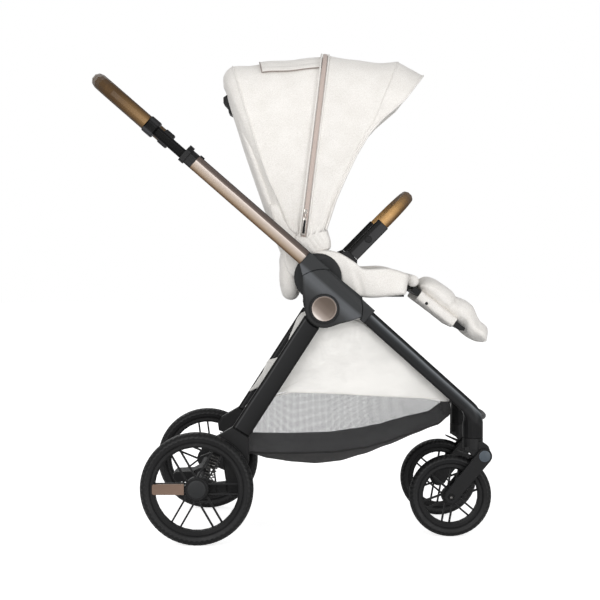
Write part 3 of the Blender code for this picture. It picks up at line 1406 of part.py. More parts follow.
def rear_canopy():
    """Rear part of the canopy: a thin shell over three bows, sagging a little between them."""
    rings = []
    wall = CANOPY_REAR_WALL
    stations = [
        (119.0, CANOPY_REAR_RADIUS - 0.036), (116.0, CANOPY_REAR_RADIUS - 0.012),
        (112.6, CANOPY_REAR_RADIUS),
    ]
    for k in range(1, 9):
        share = k / 8
        sag = 0.0035 * math.sin(math.pi * share * 8 / 5)
        if share >= 0.625:
            sag = 0.002 * math.sin(math.pi * (share - 0.625) / 0.375)
        stations.append((112.6 - 29.0 * share, CANOPY_REAR_RADIUS - sag))
    for angle, radius in stations:
        outer = bow(radius, CANOPY_REAR_HALF, angle, CANOPY_FOOT)
        inner = bow(radius - wall, CANOPY_REAR_HALF - wall, angle, CANOPY_FOOT)
        rings.append(hood_ring(outer, inner))
    return shape("rear_canopy", FABRIC, back_joint, loft, rings)


def front_canopy():
    """Front part of the canopy with its visor, a thin shell outside the rear part."""
    rings = []
    wall = CANOPY_FRONT_WALL
    for angle, swell in ((84.0, 0.0), (78.0, 0.0005), (72.0, 0.0045), (66.0, 0.0155)):
        radius = CANOPY_FRONT_RADIUS + swell
        outer = bow(radius, CANOPY_FRONT_HALF, angle, CANOPY_FOOT)
        inner = bow(radius - wall, CANOPY_FRONT_HALF - wall, angle, CANOPY_FOOT)
        rings.append(hood_ring(outer, inner))
    for line in (SEAM_LINE, VISOR_LINE):
        outer = bow(1.0, CANOPY_FRONT_HALF, 0, 0.0, line)
        inner = bow(1 - wall / 0.45, CANOPY_FRONT_HALF - wall, 0, 0.0, line)
        rings.append(hood_ring(outer, inner))
    return shape("front_canopy", FABRIC, hood_joint, loft, rings)


def along_line(line, share):
    """Give the point at a share of a polyline's length."""
    lengths = [math.dist(a, b) for a, b in zip(line, line[1:])]
    reach = share * sum(lengths)
    piece = 0
    while piece < len(lengths) - 1 and reach > sum(lengths[:piece + 1]):
        piece += 1
    part = min(1.0, (reach - sum(lengths[:piece])) / lengths[piece])
    start, end = line[piece], line[piece + 1]
    return (start[0] + (end[0] - start[0]) * part, start[1] + (end[1] - start[1]) * part)


def basket_half(x):
    """Basket's half width, between the rear legs, the hubs' plates and the front legs."""
    path = leg_path(1)
    start, end = path[0], path[5]
    leg = start.y + (end.y - start.y) * (x - start.x) / (end.x - start.x)
    socket = FRONT_TRACK / 2 - CASTER_RADIUS + max(0.0, 0.6 * (BASKET_FRONT - x))
    rear_end = on_frame(REAR_LEG_ANGLE, REAR_LEG_END, REAR_LEG_OFFSET).x
    share = min(1.0, max(0.0, (HUB_X - x) / (HUB_X - rear_end)))
    rear = SIDE + (ARM_SIDE - SIDE) * share - HOUSING_HALF
    return min(PLATE_IN, leg - TUBE_WIDTH / 2 - GAP, socket, rear) - GAP


def basket():
    """Cloth tub: sagging floor, upright walls and an open top."""
    rings = []
    for x, low, high in BASKET_STATIONS:
        half = basket_half(x)
        points = []
        inner = []
        for k in range(9):
            angle = math.pi * k / 8
            c = math.cos(angle)
            s = math.sin(angle)
            across = math.copysign(abs(c) ** 0.55, c)
            drop = abs(s) ** 0.55
            points.append(Vector((x, across * half, high - (high - low) * drop)))
            inner.append(
                Vector((x, across * (half - BASKET_WALL), high - (high - low - BASKET_WALL) * drop)),
            )
        rings.append(points + list(reversed(inner)))
    tub = shape("basket", MESH, None, loft, rings)
    ends = []
    for name, (x, low, high) in (("front", BASKET_STATIONS[-1]), ("rear", BASKET_STATIONS[0])):
        half = basket_half(x)
        outline = []
        for k in range(9):
            angle = math.pi * k / 8
            c, s = math.cos(angle), math.sin(angle)
            outline.append(
                (
                    math.copysign(abs(c) ** 0.55, c) * (half - 0.001),
                    high - (high - low - 0.001) * abs(s) ** 0.55,
                ),
            )
        step = BASKET_WALL if name == "rear" else -BASKET_WALL
        cap = [
            [Vector((x + 0.1 * step, y, z)) for y, z in outline],
            [Vector((x + step, y, z + 0.001)) for y, z in outline],
        ]
        ends.append(shape(f"basket_{name}", MESH, None, loft, cap))
    panels = [side_panel(tag, side) for tag, side in SIDES]
    return combine(tub, ends + panels, "UNION")


def side_panel(tag, side):
    """White cloth panel between the legs, sewn to the basket's rim."""
    leg_low = FRONT_LEG_OFFSET - TUBE_FACE / 2 - 0.0008
    front_top = on_frame(FRONT_LEG_ANGLE, PANEL_TOP, -leg_low)
    front_low = on_frame(FRONT_LEG_ANGLE, PANEL_END, -leg_low)
    top = (HUB_X - 0.0125, HUB_Z - 0.034)
    points = [top, (front_top.x, front_top.z), (front_low.x, front_low.z)] + PANEL_EDGE
    bm = bmesh.new()
    prism(bm, points, 0, PANEL_WALL)
    bmesh.ops.triangulate(bm, faces=bm.faces)
    for vertex in bm.verts:
        vertex.co.y = side * (basket_half(vertex.co.x) - PANEL_WALL - GAP + vertex.co.y)
    return finish(f"side_panel_{tag}", bm, FABRIC)


def build():
    """Make every piece of the pram."""
    for tag, side in SIDES:
        hub_core(tag, side)
        hub_cover(tag, side)
        hub_disc(tag, side)
        front_leg(tag, side)
        caster(tag, side)
        rear_leg(tag, side)
        axle_housing(tag, side)
        rear_arm(tag, side)
        rear_spring(tag, side)
        rear_wheel(tag, side)
        handle_socket(tag, side)
        outer_tube(tag, side)
        handle_rod(tag, side)
        seat_adapter(tag, side)
        bumper_arm(tag, side)
    front_crossbar()
    rear_axle_bar()
    brake_pedal()
    handle_grip()
    handle_button()
    seat_frame()
    seat_pad()
    seat_back()
    back_pad()
    recline_lever()
    legrest_board()
    legrest_pad()
    bumper_grip()
    rear_canopy()
    front_canopy()
    basket()


build()
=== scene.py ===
"""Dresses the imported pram: cloth, leather, metal, plastic and rubber, and a plain studio."""

import functools
import math

import bmesh
import bpy
from bpy.props import FloatProperty, FloatVectorProperty, IntProperty, PointerProperty
from mathutils import Matrix, Vector, noise
from mathutils.bvhtree import BVHTree


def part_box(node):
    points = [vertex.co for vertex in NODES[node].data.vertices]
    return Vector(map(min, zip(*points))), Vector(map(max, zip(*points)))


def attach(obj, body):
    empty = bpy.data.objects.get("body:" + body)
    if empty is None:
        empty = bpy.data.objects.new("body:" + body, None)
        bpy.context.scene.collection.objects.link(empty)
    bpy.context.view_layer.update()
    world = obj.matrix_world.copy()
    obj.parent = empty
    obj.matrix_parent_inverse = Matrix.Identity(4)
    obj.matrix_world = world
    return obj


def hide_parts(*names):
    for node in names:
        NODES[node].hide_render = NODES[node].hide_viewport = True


bl_info = {
    "name": "Pram Dressing",
    "version": (1, 0, 0),
    "blender": (4, 5, 0),
    "location": "View3D > Sidebar > Pram",
    "description": "Adds a pram's cloth, trim and finishes to its packed frame",
    "category": "Object",
}

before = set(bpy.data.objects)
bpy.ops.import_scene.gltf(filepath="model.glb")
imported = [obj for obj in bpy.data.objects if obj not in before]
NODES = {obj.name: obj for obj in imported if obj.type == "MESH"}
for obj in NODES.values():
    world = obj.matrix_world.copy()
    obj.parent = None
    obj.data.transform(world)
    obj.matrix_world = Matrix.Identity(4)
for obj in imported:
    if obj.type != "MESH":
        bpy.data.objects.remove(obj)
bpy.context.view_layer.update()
SIDES = (("r", -1), ("l", 1))

BACK_FOOT = Vector((0.010, 0, 0.600))
BACK_UP = Vector((-0.3338, 0, 0.9426))
BACK_FRONT = Vector((0.9426, 0, 0.3338))

# The leg rest's hinge and its directions at rest
LEGREST_PIVOT = Vector((0.277, 0, 0.566))
LEGREST_UP = Vector((0.574, 0, 0.819))
LEGREST_FORWARD = Vector((0.819, 0, -0.574))

# Side views in metres, as (x, z), measured on the near side
CANOPY_PIVOT = (0.034, 0.680)
BACK_HEM = [
    (-0.0330, 0.7020), (-0.0450, 0.7500), (-0.0560, 0.7850), (-0.0740, 0.8370), (-0.1080, 0.9245), (-0.1290, 0.9828),
    (-0.1480, 1.0240),
]
BACK_ROLL = [(-0.0080, 0.7000), (-0.0520, 0.8200), (-0.0900, 0.9100), (-0.1240, 0.9950), (-0.1470, 1.0500)]
BACK_PIPING = [
    (0.0051, 0.6955), (-0.0128, 0.7425), (-0.0418, 0.8052), (-0.0698, 0.8835), (-0.1180, 1.0420), (-0.1270, 1.0700),
]
SEAM_LINE = [
    (0.0780, 0.6905), (0.0990, 0.7580), (0.1235, 0.8138), (0.1480, 0.8630), (0.1740, 0.9100), (0.1950, 0.9420),
    (0.2250, 1.0150), (0.2520, 1.0820),
]
VISOR_LINE = [
    (0.0857, 0.6955), (0.1060, 0.7580), (0.1307, 0.8138), (0.1550, 0.8630), (0.1830, 0.9100), (0.2130, 0.9430),
    (0.2620, 0.9840), (0.3130, 1.0490),
]
HUB = (0.0805, 0.5200)

# Lines of the side view, as a point and a slope in degrees
HANDLE_LINE = ((0.1146, 0.5590), -41.1)
FRONT_LEG_LINE = ((0.1123, 0.5554), -41.9)
REAR_LEG_LINE = ((0.0752, 0.5234), 57.1)
BUMPER_LINE = ((0.1320, 0.6240), 45.5)
BUMPER_GRIP_LINE = ((0.1287, 0.6272), 45.5)

# How far back along the handle's line the upper tube's black cuff begins
CUFF = -0.4270

# Painted light across those lines, as (share of the half width, screen colour): painted shade on the edges and far
# sides, and painted highlight bands, in place of the studio's light on round tubes and covers
# Upper tube: painted shade on its lower edge and top facet, and a painted highlight band just below the top facet
TUBE_PAINTED_LIGHT = [
    (-1.0, (84, 62, 42)), (-0.66, (118, 96, 74)), (-0.25, (166, 148, 130)), (0.15, (184, 169, 157)),
    (0.50, (208, 195, 186)), (0.62, (232, 220, 212)),
    (0.70, (116, 102, 94)), (0.90, (104, 92, 86)), (1.0, (92, 81, 76)),
]
# Inner rod: a painted highlight line near its upper edge, and paler painted edges
ROD_PAINTED_LIGHT = [
    (-1.0, (58, 58, 60)), (-0.8, (20, 20, 21)), (-0.3, (6, 6, 6)), (0.35, (9, 9, 9)), (0.55, (30, 30, 31)),
    (0.72, (10, 10, 10)), (1.0, (44, 44, 45)),
]
# Hub covers and handle sockets: a painted highlight towards the upper edge
HUB_PAINTED_LIGHT = [
    (-1.0, (38, 38, 38)), (-0.2, (44, 44, 45)), (0.25, (58, 59, 60)), (0.62, (88, 90, 93)), (0.85, (86, 88, 91)),
    (1.0, (50, 51, 52)),
]
# Front legs: a painted highlight near the upper edge, with painted shade below it and dark painted bands at both edges
FRONT_LEG_PAINTED_LIGHT = [
    (-1.0, (16, 16, 17)), (-0.6, (30, 30, 31)), (-0.1, (30, 31, 32)), (0.25, (44, 46, 48)), (0.55, (86, 89, 92)),
    (0.70, (112, 116, 120)),
    (0.82, (52, 54, 56)), (1.0, (16, 16, 17)),
]
# Rear legs: a thin painted highlight line, with painted shade at both edges
REAR_LEG_PAINTED_LIGHT = [
    (-1.0, (12, 12, 12)), (-0.4, (22, 22, 23)), (0.3, (30, 30, 31)), (0.64, (32, 32, 33)), (0.71, (64, 64, 65)),
    (0.79, (58, 58, 59)), (0.84, (24, 24, 24)),
    (1.0, (12, 12, 12)),
]
# Bumper arms: a painted highlight along one side and painted shade along the other
BUMPER_PAINTED_LIGHT = [
    (-1.0, (18, 18, 18)), (-0.85, (44, 44, 45)), (-0.6, (54, 54, 55)), (0.25, (50, 50, 51)), (0.38, (16, 16, 16)),
    (1.0, (8, 8, 8)),
]
BASKET_SEAM = [
    (-0.104, 0.2150), (-0.090, 0.1950), (0.000, 0.1940), (0.100, 0.1965), (0.170, 0.2060), (0.220, 0.2170),
    (0.260, 0.2300), (0.300, 0.2420), (0.340, 0.2530), (0.374, 0.2780),
]
BASKET_RIM = [
    (-0.104, 0.2280), (-0.085, 0.2600), (-0.045, 0.3180), (0.010, 0.3305), (0.063, 0.3290), (0.120, 0.3265),
    (0.175, 0.3235), (0.230, 0.3190), (0.290, 0.3145), (0.340, 0.3100), (0.374, 0.3050),
]
BASKET_FLOOR = [
    (-0.104, 0.2100), (-0.085, 0.1830), (-0.045, 0.1680), (0.010, 0.1580), (0.063, 0.1540), (0.120, 0.1600),
    (0.175, 0.1760), (0.230, 0.1980), (0.290, 0.2220), (0.340, 0.2430), (0.374, 0.2620),
]


def srgb(red, green, blue):
    """Give a colour as linear light from its 0 to 255 screen values."""
    def linear(value):
        share = value / 255
        return share / 12.92 if share <= 0.04045 else ((share + 0.055) / 1.055) ** 2.4
    return tuple(linear(value) for value in (red, green, blue))


def shade(colour, share=1.0):
    """A colour made darker or lighter by a share."""
    return tuple(part * share for part in colour)


def colour_choice(name, description, red, green, blue):
    """A colour that the panel shows."""
    return FloatVectorProperty(
        name=name, description=description, subtype="COLOR", size=3, min=0, max=1, default=srgb(red, green, blue),
    )


def length_choice(name, description, default):
    """A length that the panel shows."""
    return FloatProperty(name=name, description=description, unit="LENGTH", precision=4, min=0, default=default)


class PramSizes(bpy.types.PropertyGroup):
    """Sizes of the cloth and the trim."""

    cloth: length_choice("Cloth", "Thickness of the canopy's cloth", 0.0026)
    net: length_choice("Net", "Thickness of the basket's net", 0.0010)
    piping: length_choice("Piping", "Radius of the piping on the canopy", 0.0017)
    zip_width: length_choice("Zip width", "Width of the zip's tape", 0.0095)
    weave: length_choice("Weave", "Distance between two threads of the cloth", 0.0016)
    net_pitch: length_choice("Net pitch", "Distance between two holes of the basket's net", 0.0015)
    swell: length_choice("Swell", "How far the cushions' cloth may move as it fills", 0.009)
    tread_depth: length_choice("Tread depth", "Depth of the grooves between the tyre's blocks", 0.0016)
    rear_blocks: IntProperty(name="Rear blocks", description="Blocks round a rear tyre's shoulder", default=64, min=12)
    front_blocks: IntProperty(
        name="Front blocks", description="Blocks round a front tyre's shoulder", default=52, min=12,
    )


class PramColours(bpy.types.PropertyGroup):
    """Colours of the pram."""

    cloth: colour_choice("Cloth", "Melange cloth of the seat and the canopy", 243, 240, 236)
    cloth_dark: colour_choice("Cloth fleck", "Darker fleck in the melange cloth", 222, 218, 212)
    lining: colour_choice("Lining", "Smooth cloth of the basket's panels", 245, 243, 239)
    net: colour_choice("Net", "Threads of the basket's net", 88, 88, 90)
    floor: colour_choice("Basket floor", "Cloth of the basket's floor", 50, 49, 49)
    tape: colour_choice("Zip tape", "Tape and piping beside the zip", 204, 187, 178)
    leather: colour_choice("Leather", "Leather of the handle and the bumper bar", 214, 168, 108)
    champagne: colour_choice("Champagne", "Anodised tubes and hub discs", 190, 172, 158)
    satin: colour_choice("Satin black", "Painted tubes and hubs", 40, 41, 42)
    plastic: colour_choice("Plastic", "Fine grained plastic", 20, 20, 21)
    gloss: colour_choice("Glossy black", "Inner rods and the zip's pull", 10, 10, 11)
    rubber: colour_choice("Rubber", "Tyres", 18, 18, 19)
    insert: colour_choice("Wheel insert", "Plate between a rear wheel's spokes", 128, 106, 92)
    steel: colour_choice("Spring steel", "Springs and screws", 112, 110, 108)


class Value:
    """A shader socket that takes part in Python sums."""

    def __init__(self, finish, socket):
        self.finish = finish
        self.socket = socket

    def __add__(self, other):
        return self.finish.math("ADD", self, other)

    def __sub__(self, other):
        return self.finish.math("SUBTRACT", self, other)

    def __mul__(self, other):
        return self.finish.math("MULTIPLY", self, other)

    def __truediv__(self, other):
        return self.finish.math("DIVIDE", self, other)

    def __rsub__(self, other):
        return self.finish.math("SUBTRACT", other, self)

    def __rtruediv__(self, other):
        return self.finish.math("DIVIDE", other, self)

    def __gt__(self, other):
        return self.finish.math("GREATER_THAN", self, other)

    def __lt__(self, other):
        return self.finish.math("LESS_THAN", self, other)

    __radd__ = __add__
    __rmul__ = __mul__


class Finish:
    """A material whose nodes come from Python expressions."""

    def __init__(self, name, roughness, metallic=0.0, **constants):
        self.material = bpy.data.materials.new(name)
        self.material.use_nodes = True
        self.tree = self.material.node_tree
        self.shader = self.tree.nodes["Principled BSDF"]
        self.set({"Roughness": roughness, "Metallic": metallic})
        for key, value in constants.items():
            self.set({key.replace("_", " ").title().replace("Ior", "IOR"): value})

    def set(self, values):
        """Give the shader's sockets a number or a link each."""
        for key, value in values.items():
            self.feed(self.shader.inputs[key], value)

    def feed(self, socket, value):
        """Give one socket a number, a colour or a link."""
        if isinstance(value, Value):
            self.tree.links.new(value.socket, socket)
        elif isinstance(value, (tuple, Vector)) and len(value) == 3 and socket.type == "RGBA":
            socket.default_value = (*value, 1)
        else:
            socket.default_value = value

    def node(self, kind, settings, inputs, output=0):
        """Add one node, set it, feed its sockets and give one of its outputs."""
        made = self.tree.nodes.new(kind)
        for key, value in settings.items():
            setattr(made, key, value)
        for key, value in inputs.items():
            self.feed(made.inputs[key], value)
        return Value(self, made.outputs[output])

    def math(self, operation, first, second=0.0):
        """One operation on two values."""
        return self.node("ShaderNodeMath", {"operation": operation}, {0: first, 1: second})

    def place(self, centre=(0, 0, 0), scale=(1, 1, 1), turn=(0, 0, 0)):
        """Position on the piece, in metres."""
        spot = self.node("ShaderNodeTexCoord", {}, {}, "Object")
        return self.node(
            "ShaderNodeMapping", {}, {"Vector": spot, "Location": centre, "Scale": scale, "Rotation": turn},
        )

    def own_map(self):
        """Position along the cloth, from the piece's own UV map, in metres."""
        return self.node("ShaderNodeUVMap", {"uv_map": "UVMap"}, {})

    def parts(self, vector):
        """The three parts of a position."""
        split = self.tree.nodes.new("ShaderNodeSeparateXYZ")
        self.feed(split.inputs[0], vector)
        return [Value(self, socket) for socket in split.outputs]

    def noise(self, vector, scale, detail=2.0, rough=0.5):
        """Soft random pattern from 0 to 1."""
        return self.node(
            "ShaderNodeTexNoise", {}, {"Vector": vector, "Scale": scale, "Detail": detail, "Roughness": rough},
        )

    def mix(self, factor, first, second):
        """Blend of two colours."""
        return self.node("ShaderNodeMix", {"data_type": "RGBA"}, {0: factor, 6: first, 7: second}, 2)

    def range(self, value, low, high, out_low, out_high):
        """A value moved from one range to another and kept in it."""
        return self.node(
            "ShaderNodeMapRange", {},
            {"Value": value, "From Min": low, "From Max": high, "To Min": out_low, "To Max": out_high},
        )

    def side_view(self, point, slope):
        """How far along and across a line of the side view a spot lies, in metres."""
        x, _, z = self.parts(self.place())
        c, s = math.cos(math.radians(slope)), math.sin(math.radians(slope))
        x, z = x - point[0], z - point[1]
        return x * c + z * s, z * c - x * s

    def ramp(self, value, stops):
        """Colour at a value, through stops of (value, screen colour)."""
        low, high = stops[0][0], stops[-1][0]
        made = self.node("ShaderNodeValToRGB", {}, {"Fac": self.range(value, low, high, 0.0, 1.0)})
        marks = made.socket.node.color_ramp.elements
        marks[0].color, marks[1].color = (*srgb(*stops[0][1]), 1), (*srgb(*stops[-1][1]), 1)
        for spot, colour in stops[1:-1]:
            marks.new((spot - low) / (high - low)).color = (*srgb(*colour), 1)
        return made

    def bump(self, height, distance, strength=1.0):
        """Raise the surface by a height in metres."""
        self.set(
            {"Normal": self.node("ShaderNodeBump", {}, {"Strength": strength, "Distance": distance, "Height": height})}
        )

    def worn(self, amount=0.5):
        """How sharp the surface bends, for wear on its edges."""
        point = self.node("ShaderNodeNewGeometry", {}, {}, "Pointiness")
        return self.range(point, 0.52, 0.60, 0.0, amount)


def threads(finish, vector, pitch):
    """Height of a plain weave, high where threads cross over."""
    turn = math.tau / pitch
    x, y, z = finish.parts(vector)
    waves = [finish.math("SINE", axis * turn) for axis in (x, y, z)]
    return (waves[0] * waves[1] + waves[1] * waves[2] + waves[0] * waves[2]) * 0.5 + 0.5


def melange_cloth(name, light, dark, pitch, mapped=False):
    """Woven melange cloth with flecks, faint clouds and a fine weave."""
    finish = Finish(name, 0.92, sheen_weight=0.25, sheen_roughness=0.5, specular_ior_level=0.25)
    spot = finish.place()
    fleck = finish.noise(spot, 520.0, 3.0, 0.7)
    cloud = finish.noise(spot, 26.0, 3.0)
    weave = threads(finish, finish.own_map() if mapped else spot, pitch)
    tone = finish.range(fleck * 0.72 + cloud * 0.22 + weave * 0.06, 0.36, 0.62, 0.0, 1.0)
    finish.set({"Base Color": finish.mix(tone, dark, light)})
    finish.bump(weave * 0.5 + fleck * 0.7 + cloud * 2.0, 0.00045, 0.75)
    return finish.material


def smooth_cloth(name, light, dark, pitch):
    """Thin smooth cloth with soft creases, with painted shade in their hollows."""
    finish = Finish(name, 0.85, sheen_weight=0.12, specular_ior_level=0.3)
    spot = finish.place()
    crease = finish.noise(finish.place(scale=(1.0, 1.0, 1.9), turn=(0, 0.35, 0)), 9.0, 3.0, 0.55)
    weave = threads(finish, spot, pitch)
    # Painted shade: the cloth's colour is darker where the creases dip
    finish.set({"Base Color": finish.mix(finish.range(crease + weave * 0.05, 0.3, 0.62, 0.0, 1.0), dark, light)})
    finish.bump(crease * 16.0 + weave * 0.5, 0.0005, 0.8)
    return finish.material


def net_cloth(name, thread, pitch, edge):
    """See-through net: threads round small holes, from the piece's own map."""
    finish = Finish(name, 0.8, specular_ior_level=0.2)
    turn = math.tau / pitch
    waves = [finish.math("SINE", axis * turn) for axis in finish.parts(finish.own_map())[:2]]
    threads_across, threads_along = (finish.range(wave, edge - 0.12, edge + 0.12, 0.0, 1.0) for wave in waves)
    holes = threads_across * threads_along
    speck = finish.noise(finish.place(), 240.0, 2.0)
    finish.set(
        {
            "Base Color": finish.mix(speck, shade(thread, 0.62), thread),
            "Alpha": finish.range(holes, 0.0, 1.0, 0.49, 0.08),
        }
    )
    finish.bump(1.0 - holes, 0.0003, 0.6)
    return finish.material


def band_cloth(name, light, dark, pitch):
    """Dense dark net of the basket's floor with a brownish cast."""
    finish = Finish(name, 0.8, specular_ior_level=0.3, sheen_weight=0.1)
    spot = finish.place()
    weave = threads(finish, spot, pitch)
    cloud = finish.noise(spot, 18.0, 3.0)
    finish.set({"Base Color": finish.mix(finish.range(weave * 0.45 + cloud * 0.6, 0.3, 0.8, 0.0, 1.0), dark, light)})
    finish.bump(weave + cloud * 3.0, 0.0005, 0.8)
    return finish.material


def tape_cloth(name, light):
    """Ribbed tape with a slight shine."""
    finish = Finish(name, 0.55, sheen_weight=0.2, coat_weight=0.08, coat_roughness=0.4)
    spot = finish.place()
    _, _, z = finish.parts(spot)
    rib = finish.math("SINE", z * (math.tau / 0.0014)) * 0.5 + 0.5
    dark = shade(light, 0.72)
    finish.set({"Base Color": finish.mix(finish.noise(spot, 300.0, 2.0) * 0.5 + rib * 0.35, dark, light)})
    finish.bump(rib, 0.0003, 0.7)
    return finish.material


def leather(name, light, point, slope, half, bright):
    """Smooth leather over a round bar, with a painted highlight along its middle and over one stretch of it, and
    painted shade towards its edges.
    """
    finish = Finish(name, 0.46, specular_ior_level=0.25, coat_weight=0.06, coat_roughness=0.5)
    spot = finish.place()
    cells = finish.node(
        "ShaderNodeTexVoronoi", {"feature": "DISTANCE_TO_EDGE"}, {"Vector": spot, "Scale": 620.0}, "Distance",
    )
    pebble = finish.range(cells, 0.0, 0.34, 0.0, 1.0)
    patch = finish.noise(spot, 24.0, 3.0)
    # Painted highlight: pale across the bar's middle and over the bright stretch along it; painted shade elsewhere,
    # darkest at the edges
    reach, edge = finish.side_view(point, slope)
    ridge = finish.range(edge * edge, 0.0, half * half, 1.0, 0.0)
    ridge = ridge * ridge
    stretch = finish.range(reach, *bright, 0.10, 1.0)
    deep = tuple(part * share for part, share in zip(light, (0.145, 0.125, 0.10)))
    finish.set({
        "Base Color": finish.mix(ridge * stretch + (patch - 0.5) * 0.06 + (pebble - 0.5) * 0.03, deep, light),
        "Roughness": finish.range(patch, 0.3, 0.7, 0.42, 0.52),
    })
    finish.bump(pebble, 0.00006, 0.3)
    return finish.material


def drawn(name, point, slope, half, stops, roughness, metallic=0.0, level=0.3, cuff=None):
    """Tube or cover with painted shade and painted highlights across it in the side view, from stops of screen colour,
    with fine grain and perhaps a black cuff.
    """
    finish = Finish(name, roughness, metallic, specular_ior_level=level)
    grain = finish.noise(finish.place(scale=(1.0, 3.2, 1.0), turn=(0, math.radians(-slope), 0)), 160.0, 3.0, 0.6)
    cloud = finish.noise(finish.place(), 11.0, 2.0)
    reach, across = finish.side_view(point, slope)
    # Painted light: the stops' painted shade and highlights laid across the line
    tone = finish.ramp(across / half + (cloud - 0.5) * 0.10, stops)
    if cuff:
        beyond = finish.math("MAXIMUM", reach < cuff, across * across > (half * 1.45) ** 2)
        tone = finish.mix(beyond, tone, srgb(24, 24, 25))
    finish.set({
        "Base Color": finish.mix(finish.range(grain, 0.40, 0.75, 0.0, 0.06), tone, (0.004, 0.004, 0.004)),
        "Roughness": finish.range(cloud, 0.25, 0.75, roughness - 0.05, roughness + 0.06),
    })
    finish.bump(grain, 0.00005, 0.4)
    return finish.material


def painted_light_disc(name, centre, radius):
    """Dished anodised disc with painted light: painted shade towards its upper front, a painted highlight towards its
    lower rear rim, and a pale painted highlight round its rim.
    """
    finish = Finish(name, 0.42, 0.25, specular_ior_level=0.4)
    x, z = finish.side_view(centre, 0)
    cloud = finish.noise(finish.place(), 40.0, 2.0)
    tone = finish.ramp((x * -0.62 + z * -0.66) / radius + (cloud - 0.5) * 0.06, [
        (-1.0, (88, 76, 67)), (-0.30, (96, 83, 74)), (0.20, (118, 105, 96)), (0.62, (166, 153, 145)),
        (0.86, (236, 228, 222)), (1.0, (208, 196, 188)),
    ])
    # Pale painted highlight round the disc's rim
    rim = finish.range((x * x + z * z) / (radius * radius), 0.76, 0.96, 0.0, 0.35)
    finish.set({"Base Color": finish.mix(rim, tone, srgb(216, 200, 190))})
    finish.bump(cloud, 0.00005, 0.3)
    return finish.material


def anodised(name, light, roughness=0.3):
    """Anodised aluminium with fine lengthwise brushing and slight clouds."""
    finish = Finish(name, roughness, 0.92, specular_ior_level=0.5)
    brushed = finish.noise(finish.place(scale=(1.0, 3.2, 1.0), turn=(0, math.radians(41), 0)), 140.0, 4.0, 0.6)
    cloud = finish.noise(finish.place(), 9.0, 2.0)
    deep = shade(light, 0.82)
    finish.set({
        "Base Color": finish.mix(finish.range(brushed * 0.4 + cloud * 0.6, 0.25, 0.75, 0.0, 1.0), deep, light),
        "Roughness": finish.range(brushed * 0.5 + cloud * 0.5, 0.2, 0.8, roughness - 0.05, roughness + 0.07),
    })
    finish.bump(brushed, 0.00005, 0.35)
    return finish.material


def coated(name, light, roughness, grain, depth, metallic=0.0, wear=0.35):
    """Painted or moulded surface: fine grain, faint smudges and paler worn edges."""
    finish = Finish(name, roughness, metallic, specular_ior_level=0.28)
    spot = finish.place()
    texture = finish.noise(spot, grain, 3.0, 0.65)
    smudge = finish.noise(spot, 13.0, 3.0)
    edge = finish.worn(wear)
    pale = tuple(min(1.0, part * 1.7 + 0.008) for part in light)
    deep = shade(light, 0.74)
    body = finish.mix(finish.range(smudge * 0.7 + texture * 0.3, 0.3, 0.7, 0.0, 1.0), deep, light)
    finish.set({
        "Base Color": finish.mix(edge, body, pale),
        "Roughness": finish.range(smudge, 0.25, 0.75, roughness - 0.06, roughness + 0.08),
    })
    finish.bump(texture, depth, 0.6)
    return finish.material


def rubber(name, light):
    """Tyre rubber: matt, dusty in patches, with fine grain."""
    finish = Finish(name, 0.52, specular_ior_level=0.32)
    spot = finish.place()
    dust = finish.noise(spot, 34.0, 4.0, 0.6)
    grain = finish.noise(spot, 700.0, 2.0)
    pale = tuple(part * 1.4 + 0.002 for part in light)
    finish.set({
        "Base Color": finish.mix(finish.range(dust, 0.42, 0.72, 0.0, 0.8), light, pale),
        "Roughness": finish.range(dust, 0.3, 0.7, 0.42, 0.60),
    })
    finish.bump(grain, 0.00012, 0.6)
    return finish.material


FINISHES = {}


